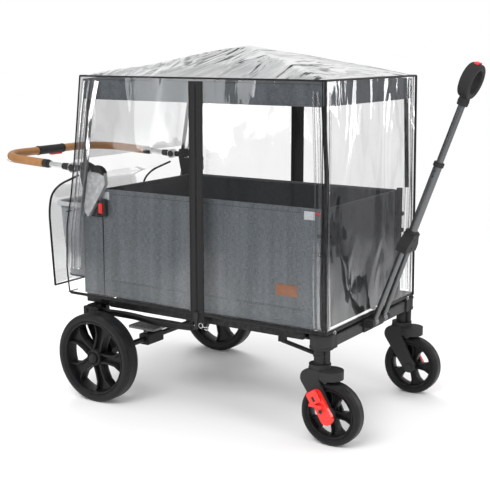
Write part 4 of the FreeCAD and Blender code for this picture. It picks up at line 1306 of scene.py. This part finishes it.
@dataclass
class Tub:
    """The four cloth walls, their binding, seams, labels, patch and clips."""

    rear: float = -375.0
    front: float = 380.0
    foot: float = 304.0
    top: float = 629.0
    side_y: float = 236.0

    def build(self) -> None:
        """Make the walls and what is sewn to them."""
        for side, sign in SIDES.items():
            self.side_wall(side, sign)
            self.side_details(side, sign)
            self.clips(side, sign)
        for end, x in (("rear", -379.2), ("front", 379.2)):
            self.end_wall(end, x)
        self.sleeves()

    def sleeves(self) -> None:
        """The linen sleeves over the rear posts, with their seams."""
        form, seams = Form(), Form()
        for sign in SIDES.values():
            low, high = sorted((239.6 * sign, 241.2 * sign))
            form.box((-451.5, low, self.foot), (-374.5, high, 548), 0.7)
            low, high = sorted((204.6 * sign, 241.2 * sign))
            form.box((-452, low, self.foot), (-450.2, high, 548), 0.7)
            for x in (-447,):
                stitches(seams, [(x, 241.4 * sign, self.foot + 4), (x, 241.4 * sign, 544)], 6, 0.45)
            stitches(seams, [(-446, 241.4 * sign, self.foot + 8), (-380, 241.4 * sign, self.foot + 8)], 6, 0.45)
        settle(form, "post_sleeves", LINEN, "rear_frame")
        settle(seams, "sleeve_stitches", WEBBING, "rear_frame")

    def side_wall(self, side: str, sign: int) -> None:
        """A side wall: linen outside, dark lining inside, and a bound top edge.

        Args:
            side: left or right.
            sign: its sign along Y.
        """
        for name, finish, y, bow in (("linen", LINEN, self.side_y, 1.6), ("lining", LINING, 230.2, 0.6)):
            form = Form()
            form.outline([(self.rear, self.foot), (self.front, self.foot), (self.front, self.top),
                          (self.rear, self.top)], Axis.Y, y * sign)
            form.divide(14, (Axis.X, Axis.Z))
            form.shift(lambda p, k=bow: Vector((0, sign * (swell(p, 120, 260, k, 3.1) - 0.4 * k
                                                           + 1.1 * self.seam(p)), 0)))
            form.thicken(0.9 * (1 if name == "linen" else -1) * sign)
            covers = [f"tub_side_{side}"] if name == "linen" else []
            panel = settle(form, f"tub_{name}_{side}", finish, "rear_frame", covers, gather=TUB_GATHER)
        edge = Form().box((self.rear, min(229.4 * sign, 238 * sign), self.top - 3),
                          (self.front, max(229.4 * sign, 238 * sign), self.top + 5), 3.2, 4)
        edge.box((self.rear, min(229.6 * sign, 237.8 * sign), self.foot - 1.2),
                 (self.front, max(229.6 * sign, 237.8 * sign), self.foot + 12), 2.5, 3)
        edge.divide(30, (Axis.X,))
        settle(edge, f"tub_binding_{side}", LINEN, "rear_frame", gather=TUB_GATHER)

    def seam(self, point: Vector) -> float:
        """How far the sewn seams draw the linen in, at a point.

        Args:
            point: the place on the wall.

        Returns:
            0 away from the seams, -1 on them.
        """
        low = math.exp(-(((point.z - 352) / 5) ** 2))
        high = math.exp(-(((point.z - 604) / 5) ** 2))
        return -max(low, 0.5 * high)

    def side_details(self, side: str, sign: int) -> None:
        """Seams, patch, reflective labels and the pull tab of a side wall.

        Args:
            side: left or right.
            sign: its sign along Y.
        """
        y = 237.2 * sign
        seam = Form()
        for z in (350.5, 354):
            stitches(seam, [(self.rear + 6, y - 0.9 * sign, z), (self.front - 6, y - 0.9 * sign, z)], 6.5, 0.5)
        stitches(seam, [(self.rear + 6, y, 620), (self.front - 6, y, 620)], 6.5, 0.45)
        settle(seam, f"tub_seams_{side}", WEBBING, "rear_frame", gather=TUB_GATHER)
        patch = Form().box((242, min(y, y + 1.6 * sign), 385), (309, max(y, y + 1.6 * sign), 418), 0.7)
        settle(patch, f"tub_patch_{side}", TAN_PATCH, "rear_frame", gather=TUB_GATHER)
        border = Form()
        loop = [(245.5, y + 1.7 * sign, 388.5), (305.5, y + 1.7 * sign, 388.5), (305.5, y + 1.7 * sign, 414.5),
                (245.5, y + 1.7 * sign, 414.5), (245.5, y + 1.7 * sign, 388.5)]
        stitches(border, loop, 3.4, 0.4)
        settle(border, f"patch_stitches_{side}", THREAD, "rear_frame", gather=TUB_GATHER)
        labels = Form()
        for low, high in (((328, 603), (361, 626)), ((-374.5, 601), (-348, 626))):
            labels.box((low[0], min(y, y + 1.0 * sign), low[1]), (high[0], max(y, y + 1.0 * sign), high[1]), 0.4)
            middle = (low[1] + high[1]) / 2
            labels.box((low[0] + 1, min(y, y + 1.5 * sign), middle - 0.7),
                       (high[0] - 1, max(y, y + 1.5 * sign), middle + 0.7), 0.3)
        settle(labels, f"tub_reflectors_{side}", LABEL, "rear_frame", gather=TUB_GATHER)
        tab = Form().box((362, min(y, y + 2 * sign), 619), (379, max(y, y + 2 * sign), 624.5), 0.8)
        settle(tab, f"tub_tab_{side}", RED, "rear_frame", gather=TUB_GATHER)

    def clips(self, side: str, sign: int) -> None:
        """Buckles that hold the linen to the front post.

        Args:
            side: left or right.
            sign: its sign along Y.
        """
        form = Form()
        for z in (556, 506):
            form.box((381.5, min(222 * sign, 239.6 * sign), z), (404, max(222 * sign, 239.6 * sign), z + 12), 2)
            inside, outside = sorted((237.6 * sign, 241.6 * sign))
            form.box((371, inside, z + 1), (386, outside, z + 11), 1.2)
        settle(form, f"post_buckles_{side}", PLASTIC, "front_frame")

    def end_wall(self, end: str, x: float) -> None:
        """An end wall of dark cloth with a bound top.

        Args:
            end: rear or front.
            x: where it stands.
        """
        half = self.side_y - 9
        form = Form()
        form.outline([(-half, 298), (half, 298), (half, self.top), (-half, self.top)], Axis.X, x)
        form.divide(16, (Axis.Y, Axis.Z))
        form.shift(lambda p: Vector((swell(p, 110, 200, 1.5, 8.2), 0, 0)))
        form.thicken(1.2)
        body = f"{end}_frame"
        panel = settle(form, f"tub_{end}_cloth", LINING, body, [f"tub_{end}_wall"])
        edge = Form().box((x - 3.6, -half, self.top - 3), (x + 3.6, half, self.top + 4), 2.8, 3)
        if end == "rear":
            edge.box((x + 3.4, -80, 560), (x + 5, -64, 606), 0.5)
        settle(edge, f"tub_{end}_binding", LINING, body)


@dataclass
class Basket:
    """The rear basket: a rounded net box hung from a padded rim."""

    rear_top: float = -585.0
    rear_foot: float = -552.0
    front: float = -455.0
    top: float = 572.0
    foot: float = 346.0
    half: float = 219.0
    corner: float = 42.0
    floor_share: float = 110.0

    def ring(self, rear: float, half: float, z: float) -> list[Vector]:
        """The basket's plan at a height: open at the front, with two round rear corners.

        Args:
            rear: how far back it reaches.
            half: half its width.
            z: the height.

        Returns:
            The points from the left front to the right front.
        """
        line = [(self.front, half, z), (rear, half, z), (rear, -half, z), (self.front, -half, z)]
        return rounded(line, self.corner, 7)

    def build(self) -> None:
        """Loft the net between its rim and its floor, close the front and bind the rim."""
        form = Form()
        levels = 9
        loops = []
        for step in range(levels + 1):
            share = step / levels
            rear = self.rear_foot + (self.rear_top - self.rear_foot) * share
            sag = 5 * math.sin(math.pi * share)
            points = self.ring(rear - sag * 0.6, self.half - 3 + min(2.5, sag * 0.5),
                               self.foot + (self.top - self.foot) * share)
            verts = [form.bm.verts.new(p) for p in points]
            loops.append([form.bm.edges.new(pair) for pair in zip(verts, verts[1:] + verts[:1])])
        for low, high in zip(loops, loops[1:]):
            bmesh.ops.bridge_loops(form.bm, edges=low + high)
        bmesh.ops.holes_fill(form.bm, edges=loops[0])
        net = settle(form, "basket_net", NET, "rear_frame", ["rear_basket"], angle=60)
        solid = net.modifiers.new("net_wall", "SOLIDIFY")
        solid.thickness, solid.offset = 0.0012, 0.0
        rim = Form().sweep(self.ring(self.rear_top - 3, self.half + 1, self.top), 7.5, segments=14)
        rim.sweep([(self.front, self.half, self.top), (self.front, 0, self.top), (self.front, -self.half, self.top)],
                  6, segments=12)
        settle(rim, "basket_rim", BASKET_RIM, "rear_frame")
        seams = Form()
        for y in (-self.half + 1, self.half - 1):
            seams.sweep([(self.front - 2, y, self.foot), (self.rear_foot + 40, y, self.foot)], 2.2)
        seams.sweep(self.ring(self.rear_foot - 1, self.half - 2, self.foot), 2.4)
        settle(seams, "basket_seams", WEBBING, "rear_frame")


@dataclass
class Canopy:
    """The cloth roof with its valance."""

    rear: float = -411.0
    front: float = 402.0
    half: float = 270.5
    hem: float = 905.0
    top: float = 964.0
    apex: float = 1049.0

    def build(self) -> None:
        """Make the roof, its ribs, the valance and its bindings."""
        self.roof()
        self.ribs()
        self.valance()

    def ribs(self) -> None:
        """The four ribs and their hub."""
        form = Form().lathe([(0.5, 1026), (11, 1026), (12, 1028), (12, 1034), (11, 1036), (0.5, 1036)],
                            Matrix.Identity(4), 32)
        for sign in SIDES.values():
            for end_x in (-377, 375):
                form.sweep([(end_x, 249 * sign, 955), (end_x / 2, 124.5 * sign, 993.5), (0, 0, 1032)], 3)
        settle(form, "canopy_rib_rods", PLASTIC, "rear_frame", ["canopy_ribs"], gather=CANOPY_GATHER)

    def slope(self, point: Vector) -> float:
        """How high the roof is over a point of its plan.

        Args:
            point: the place.

        Returns:
            The height above the eaves.
        """
        middle, reach = (self.rear + self.front) / 2, (self.front - self.rear) / 2
        out = max(abs(point.x - middle) / reach, abs(point.y) / self.half)
        sag = 5 * math.sin(math.pi * min(1, max(0, 1 - out)))
        return (self.apex - self.top) * (1 - out) - sag

    def roof(self) -> None:
        """The roof, which sags a little between its ribs."""
        form = Form()
        plan = [(self.rear, -self.half), (self.front, -self.half), (self.front, self.half), (self.rear, self.half)]
        form.outline(plan, Axis.Z, self.top - 1.0)
        form.divide(20, (Axis.X, Axis.Y))
        form.shift(lambda p: Vector((0, 0, self.slope(p))))
        cloth = settle(form, "canopy_roof", ROOF_CLOTH, "rear_frame", ["canopy"], (0, 0, 1), CANOPY_GATHER, 50)

    def valance(self) -> None:
        """The valance round the eaves, one band on each side and one at each end."""
        for side, sign in SIDES.items():
            form = Form()
            form.outline([(self.rear, self.hem), (self.front - 4, self.hem), (self.front, self.hem + 8),
                          (self.front, self.top), (self.rear, self.top)], Axis.Y, self.half * sign)
            form.divide(14, (Axis.X, Axis.Z))
            form.shift(lambda p: Vector((0, sign * swell(p, 90, 120, 1.6, 5.5) - 1.2 * sign, 0)))
            band = settle(form, f"canopy_valance_{side}", CANOPY, "rear_frame", (), (0, sign, 0), CANOPY_GATHER)
            hem = Form().sweep([(self.rear, (self.half - 1) * sign, self.hem + 1),
                                (self.front - 4, (self.half - 1) * sign, self.hem + 1)], 1.6, segments=8)
            stitches(hem, [(self.rear, (self.half + 0.6) * sign, self.hem + 7),
                           (self.front - 4, (self.half + 0.6) * sign, self.hem + 7)], 8, 0.4)
            hem.divide(60, (Axis.X,))
            settle(hem, f"canopy_hem_{side}", CANOPY, "rear_frame", gather=CANOPY_GATHER)
        for end, x, body in (("rear", self.rear + 0.6, "rear_frame"), ("front", self.front - 0.6, "front_frame")):
            form = Form()
            plan = rounded([(0, -self.half + 2, self.top), (0, -self.half + 2, self.hem), (0, self.half - 2,
                                                                                           self.hem),
                            (0, self.half - 2, self.top)], 22, 5)
            form.outline([(p.y, p.z) for p in plan], Axis.X, x)
            form.divide(14, (Axis.Y, Axis.Z))
            form.shift(lambda p: Vector((swell(p, 90, 120, 1.2, 2.5), 0, 0)))
            outward = (1 if end == "front" else -1, 0, 0)
            band = settle(form, f"canopy_valance_{end}", CANOPY, body, (), outward)


@dataclass
class RainCover:
    """The clear cover: film panes with black piping, zipper bands and a rear pouch."""

    half: float = 280.4
    top: float = 971.7
    foot: float = 306.0
    front_top: float = 411.0
    front_foot: float = 422.0
    rear_top: float = -413.0
    apex: float = 1061.0
    rear_line: tuple = ((-413, 971.7), (-429, 842), (-445, 720), (-462, 613), (-475, 555), (-483, 512), (-488, 386),
                        (-480, 306))
    pouch_line: tuple = ((-472, 668), (-552, 634), (-588, 600), (-599, 546), (-592, 430), (-584, 309))
    band: Flat = (-17.5, 28.5)

    def build(self) -> None:
        """Make the roof, the panes, the pouch, the piping and the zippers."""
        self.roof()
        for side, sign in SIDES.items():
            self.side_pane(side, sign)
            self.side_piping(side, sign)
        self.pleats()
        self.zippers()
        self.front_pane()
        self.rear_panes()
        self.pouch()

    def lean(self, z: float) -> float:
        """Where the front pane stands at a height.

        Args:
            z: the height.

        Returns:
            The place along X.
        """
        return self.front_top + (self.front_foot - self.front_top) * (self.top - z) / (self.top - self.foot)

    def roof(self) -> None:
        """The film roof, with soft swirls."""
        form = Form()
        half = self.half + 0.3
        form.outline([(self.rear_top, -half), (self.front_top, -half), (self.front_top, half),
                      (self.rear_top, half)], Axis.Z, self.top)
        form.divide(12, (Axis.X, Axis.Y))
        middle, reach = (self.rear_top + self.front_top) / 2, (self.front_top - self.rear_top) / 2

        def rise(point: Vector) -> Vector:
            """The roof's slope with its swells."""
            out = max(abs(point.x - middle) / reach, abs(point.y) / half)
            bow = 4.2 * math.sin(math.pi * min(1.0, 1 - out))
            wave = swell(point, 210, 1, 9.0, 12.5) * min(1, 3 * (1 - out))
            return Vector((0, 0, (self.apex - self.top) * (1 - out) + bow * 0.4 + wave))

        form.shift(rise)
        film = settle(form, "cover_roof_film", ROOF_FILM, "rear_frame", ["cover_roof"], (0, 0, 1), COVER_GATHER, 60)

    def side_pane(self, side: str, sign: int) -> None:
        """A side pane: its main part, and the rear fin.

        Args:
            side: left or right.
            sign: its sign along Y.
        """
        y = self.half * sign
        main = [(self.rear_top, self.top), (self.rear_top, self.foot), (self.front_foot, self.foot),
                (self.front_top, self.top)]
        fin = [*self.rear_line, (self.rear_top, self.foot)]

        def wave(point: Vector) -> Vector:
            """Folds that hang from the top and fade at the seams."""
            ease = min(1, (self.top - point.z) / 260, (point.z - self.foot) / 120,
                       abs(point.x - 5.5) / 90)
            return Vector((0, sign * max(0.0, ease) * (swell(point, 150, 420, 4.0, 1.7) + 0.5), 0))

        for name, outline, gather in (("film", main, COVER_GATHER), ("fin", fin, None)):
            form = Form()
            form.outline(outline, Axis.Y, y)
            form.divide(15, (Axis.X, Axis.Z))
            form.shift(wave)
            covers = [f"cover_side_{side}"] if name == "film" else []
            pane = settle(form, f"cover_side_{name}_{side}", FILM, "rear_frame", covers, (0, sign, 0), gather, 60)

    def side_piping(self, side: str, sign: int) -> None:
        """The piping of a side: the runs along its top and foot, the rear run, and the corner that goes with the
        front.

        Args:
            side: left or right.
            sign: its sign along Y.
        """
        y = (self.half + 0.4) * sign
        runs = Form().sweep([(x, y, self.top + 0.6) for x in (self.rear_top, -200, 0, 200, self.front_top)], 2.6)
        low, high = sorted((y - 0.9 * sign, y + 0.9 * sign))
        runs.box((self.rear_top, low, self.foot - 2), (self.front_foot, high, self.foot + 7), 0.6)
        runs.sweep([(x, y, self.foot - 1) for x in (self.rear_top, 0, self.front_foot)], 2.2)
        settle(runs, f"cover_piping_{side}", PIPING, "rear_frame", gather=COVER_GATHER)
        rear = Form().sweep(rounded([(x, y, z) for x, z in self.rear_line] + [(self.rear_top, y, self.foot)],
                                    14), 2.3)
        rear.box((-478, low, self.foot - 2), (self.rear_top, high, self.foot + 7), 0.6)
        settle(rear, f"cover_rear_piping_{side}", PIPING, "rear_frame")
        corner = Form().sweep([(self.front_top, y, self.top), (self.front_foot, y, self.foot)], 3.6)
        corner.sweep([(self.front_top - 9, y, self.top), (self.front_foot - 9, y, self.foot)], 1.2)
        settle(corner, f"cover_corner_piping_{side}", PIPING, "front_frame")

    def pleats(self) -> None:
        """The welded folds of film beside the rear and front edges of the panes."""
        rear, front = Form(), Form()
        for sign in SIDES.values():
            y = self.half * sign
            for shift, width in ((16, 7.0), (34, 4.5), (60, 12.0)):
                line = [(x + shift * 0.75, y, z) for x, z in self.rear_line[:-1]]
                rear.sweep(rounded([(self.rear_top + shift, y, 960), *line[1:]], 40, 4), width, 2.4, 14, up=(0, 1, 0))
            for shift, width in ((-20, 5.0), (-34, 3.0)):
                front.sweep([(self.lean(z) + shift + 3 * math.sin(z / 90), y, z) for z in range(320, 966, 24)], width,
                            2.2, 14, up=(0, 1, 0))
            for shift, width in ((22, 4.0),):
                front.sweep([(self.lean(z) - 0.5, y - (shift + 4 * math.sin(z / 110)) * sign, z)
                             for z in range(318, 966, 24)], width, 2.2, 14, up=(1, 0, 0))
        settle(rear, "cover_rear_pleats", PLEAT_FILM, "rear_frame")
        settle(front, "cover_front_pleats", PLEAT_FILM, "front_frame")

    def zippers(self) -> None:
        """The zipper bands, their teeth, edges, sliders and the rings at their feet."""
        low_x, high_x = self.band
        middle = (low_x + high_x) / 2
        tape, teeth, rings = Form(), Form(), Form()
        for side, sign in SIDES.items():
            y = 280.6 * sign
            tape.box((low_x, min(y - 1.1 * sign, y + 1.3 * sign), 282), (high_x, max(y - 1.1 * sign, y + 1.3 * sign),
                                                                         964), 0.8)
            for x in (low_x + 1.5, high_x - 1.5):
                tape.sweep([(x, y + 1.4 * sign, 283), (x, y + 1.4 * sign, 963)], 1.5)
                stitches(tape, [(x + (4 if x < middle else -4), y + 1.5 * sign, 284),
                                (x + (4 if x < middle else -4), y + 1.5 * sign, 962)], 7, 0.5)
            flap = sorted((y + 1.2 * sign, y + 2.2 * sign))
            tape.box((middle - 9, flap[0], 300), (middle - 3.2, flap[1], 962), 0.4)
            tape.box((middle + 3.2, flap[0], 300), (middle + 9, flap[1], 962), 0.4)
            for index in range(160):
                z = 314 + index * 4
                x = middle - 0.9 if index % 2 else middle + 0.9
                teeth.rod((x, y + 1.3 * sign, z), (x, y + 2.9 * sign, z), 1.7, segments=6)
            centre = Vector((middle + 12, y + 1 * sign, 274))
            rings.sweep([centre + Vector((7 * math.cos(a), 0, 7 * math.sin(a))) for a in
                         (2 * math.pi * k / 20 for k in range(20))], 1.3, closed=True, up=(0, 1, 0))
            rings.sweep([centre + Vector((x, 0, z)) for x, z in ((6, -2), (14, -4), (22, -1), (27, -6), (22, -11),
                                                                 (14, -9))], 1.5)
            rings.rod(centre + Vector((-10, 0, 0)), centre + Vector((-22, 0, -2)), 2.4, bevel=0.5)
            dress(PLASTIC, f"zipper_slider_{side}")
        settle(tape, "zipper_tapes", WEBBING, "cover_mid", ["zipper_bands"])
        settle(teeth, "zipper_teeth", PIPING, "cover_mid")
        settle(rings, "zipper_hooks", HOOK, "cover_mid")

    def front_pane(self) -> None:
        """The front pane, leaned and softly folded, with its piping and rings."""
        form = Form()
        half = self.half - 0.6
        form.outline([(-half, self.foot), (half, self.foot), (half, self.top), (-half, self.top)], Axis.X, 0)
        form.divide(13, (Axis.Y, Axis.Z))

        def stand(point: Vector) -> Vector:
            """Lean the pane and give it its folds."""
            ease = max(0, min(1, (self.top - point.z) / 260, (point.z - self.foot) / 110,
                              (half - abs(point.y)) / 70))
            wave = 7.0 * noise.noise(Vector((point.y / 110 + 4.4, point.z / 300, 2.0)))
            return Vector((self.lean(point.z) + ease * (wave - 1.5), 0, 0))

        form.shift(stand)
        pane = settle(form, "cover_front_film", FRONT_FILM, "front_frame", ["cover_front"], (1, 0, 0), None, 60)
        edge = Form().sweep([(self.front_top, -self.half, self.top + 0.6), (self.front_top, 0, self.top + 0.6),
                             (self.front_top, self.half, self.top + 0.6)], 3.0)
        edge.box((self.front_foot - 1.2, -self.half, self.foot - 2), (self.front_foot + 0.8, self.half,
                                                                      self.foot + 7),
                 0.6)
        edge.sweep([(self.front_foot, -self.half, self.foot - 1), (self.front_foot, self.half, self.foot - 1)], 2.2)
        settle(edge, "cover_front_piping", PIPING, "front_frame")
        hooks = Form()
        for y in (-236, 236):
            hooks.sweep([Vector((425, y + 6 * math.cos(a), 303 + 6 * math.sin(a))) for a in
                         (2 * math.pi * k / 16 for k in range(16))], 1.2, closed=True, up=(1, 0, 0))
        settle(hooks, "cover_front_rings", HOOK, "front_frame")

    def rear_panes(self) -> None:
        """The rear film above the basket, and the strips beside it."""
        form = Form()
        half = self.half - 1
        form.outline([(-half, 722), (half, 722), (half, self.top), (-half, self.top)], Axis.X, 0)
        form.divide(15, (Axis.Y, Axis.Z))
        form.shift(lambda p: Vector((self.rear_top - 32 * (self.top - p.z) / 249.7
                                     + min(1, (half - abs(p.y)) / 40) * swell(p, 120, 260, 3.0, 6.6), 0, 0)))
        for y in (236.5, -half):
            form.outline([(y, 309), (y + half - 236.5, 309), (y + half - 236.5, 560), (y, 560)], Axis.X, -485.4)
        pane = settle(form, "cover_rear_film", CLEAR_FILM, "rear_frame", ["cover_rear"], (-1, 0, 0), None, 60)
        edge = Form().sweep([(self.rear_top, -self.half, self.top + 0.6), (self.rear_top, self.half, self.top + 0.6)],
                            2.8)
        for sign in SIDES.values():
            edge.sweep([(-485.4, 237 * sign, 560), (-485.4, half * sign, 560)], 1.6)
            edge.sweep([(-485.4, 237 * sign, 309), (-485.4, half * sign, 309)], 1.8)
        settle(edge, "cover_back_piping", PIPING, "rear_frame")

    def pouch(self) -> None:
        """The film pouch round the basket, with piping on its edges."""
        half = 234.3
        line = rounded([(x, 0, z) for x, z in self.pouch_line], 26, 4)
        form = Form()
        verts = [form.bm.verts.new((p.x, -half, p.z)) for p in line]
        edges = [form.bm.edges.new(pair) for pair in zip(verts, verts[1:])]
        moved = bmesh.ops.extrude_edge_only(form.bm, edges=edges)["geom"]
        bmesh.ops.translate(form.bm, vec=(0, 2 * half, 0), verts=[g for g in moved if isinstance(g,
                                                                                                 bmesh.types.BMVert)])
        form.divide(22, (Axis.Y, Axis.Z))
        form.shift(lambda p: Vector((min(1, (half - abs(p.y)) / 30 if abs(p.y) < half else 0)
                                     * swell(p, 120, 200, 3.0, 9.9), 0, 0)))
        film = settle(form, "cover_pouch_film", POUCH_FILM, "rear_frame", ["cover_pouch"], (-1, 0, 0), None, 60)
        edge = Form()
        for sign in SIDES.values():
            edge.sweep([Vector((p.x, half * sign, p.z)) for p in line], 3.4)
        edge.sweep([(-584, -half, 309), (-584, half, 309)], 3.0)
        settle(edge, "pouch_piping", PIPING, "rear_frame")


# ---------------------------------------------------------------- handles


@dataclass
class PullHandle:
    """The front handle, whose details are placed in its own leaning frame."""

    pivot: Point = (440, 0, 289)
    lean: float = 20.2

    def build(self) -> None:
        """Dress the handle and add its fittings."""
        dress(GUNMETAL, "pull_fork", "lower_pull_tube", "upper_pull_tube")
        dress(PLASTIC, "fork_collar", "pull_grip")
        dress(RED, "grip_button")
        place = Matrix.Translation(self.pivot) @ Matrix.Rotation(math.radians(self.lean), 4, "Y")
        collar = Form()
        collar.lathe([(12.1, 278), (19, 279), (20.5, 282), (19, 285), (12.1, 286)], place, 40, closed=True)
        collar.lathe([(12.1, 480), (14.6, 480.6), (15, 483), (14.6, 491.6), (9.8, 492), (9.8, 489), (12.1, 489)],
                     place, 40,
                     closed=True)
        for height in (468, 453):
            for out in (1, -1):
                start, end = sorted((11.2 * out, 12.5 * out))
                collar.rod((0, start, height), (0, end, height), 2.4, segments=20, place=place)
        settle(collar, "pull_collar_rings", PLASTIC, "pull_lower")
        pins = Form()
        for out in (1, -1):
            for height in (238, 262):
                start, end = sorted((15.6 * out, 17.6 * out))
                pins.rod((start, 0, height), (end, 0, height), 3.2, segments=20, bevel=0.5, place=place)
            start, end = sorted((41 * out, 44 * out))
            pins.rod((0, start, 0), (0, end, 0), 7, segments=24, bevel=0.8, place=place)
        settle(pins, "pull_collar_pins", STEEL, "pull_lower")
        grip = Form()
        grip.lathe([(9.7, 656), (14.6, 657), (15.4, 662), (15, 674), (13.4, 684), (11, 684), (9.7, 676)], place, 40,
                   closed=True)
        grip.lathe([(14.6, 666), (16, 666.6), (16, 669.4), (14.6, 670)], place, 40, closed=True)
        settle(grip, "grip_socket", PLASTIC, "pull_upper")


@dataclass
class PushBar:
    """The rear bar, whose details are placed in its own lifted frame."""

    pivot: Point = (-476, 0, 694)
    lift: float = 3.1
    half: float = 252.0
    reach: float = 332.0
    corner: float = 120.0

    def build(self) -> None:
        """Dress the bar and add the collars' rings, the seam and the housing's ribs."""
        dress(SILVER, "push_bar")
        dress(TAN, "push_grip")
        dress(PLASTIC, "release_housing")
        dress(RED, "push_trigger")
        place = Matrix.Translation(self.pivot) @ Matrix.Rotation(math.radians(self.lift), 4, "Y")
        collars = Form()
        for sign in SIDES.values():
            for start, end, radius in ((-101, -119, 13.2), (-92, -101, 10.8)):
                collars.rod((start, self.half * sign, 0), (end, self.half * sign, 0), radius, segments=36, bevel=1.0,
                            place=place)
            y_out, y_in = 262 * sign, 241.5 * sign
            for y, out in ((y_out, sign), (y_in, -sign)):
                collars.rod((0, y, 0), (0, y + 1.8 * out, 0), 11, segments=36, bevel=0.8, place=place)
            collars.rod((-14, self.half * sign, 0), (-40, self.half * sign, 0), 11.2, 10, 36, 1.0, place=place)
        for y in (-60, -56, 57, 61):
            collars.lathe([(14.2, -1.2), (15.3, -0.8), (15.3, 0.8), (14.2, 1.2)],
                          place @ Matrix.Translation((-self.reach, y, 0)) @ Matrix.Rotation(math.radians(90), 4, "X"),
                          40, closed=True)
        settle(collars, "push_collars", PLASTIC, "push_handle")
        line = rounded([(-122, self.half, 0), (-self.reach, self.half, 0), (-self.reach, -self.half, 0),
                        (-122, -self.half, 0)], self.corner, 12)
        seam = Form()
        for sign in SIDES.values():
            under = [place @ (p + Vector((0, 0, -12.9))) for p in line if p.y * sign > 0]
            under.append(place @ Vector((-self.reach, 64 * sign, -12.9)))
            seam.sweep(under if sign > 0 else under[-1:] + under[:-1], 0.9, segments=6)
        settle(seam, "grip_seam", THREAD, "push_handle")


# ---------------------------------------------------------------- all of it


def main() -> None:
    """Build every sub-assembly in order."""
    logging.basicConfig(level=logging.INFO, format="%(name)s: %(message)s")
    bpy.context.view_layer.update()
    Effects()
    Studio().build()
    RunningGear().build()
    Chassis().build()
    Floor().build()
    Tub().build()
    Basket().build()
    Canopy().build()
    RainCover().build()
    PullHandle().build()
    PushBar().build()
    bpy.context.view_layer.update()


if __name__ == "__main__":
    main()
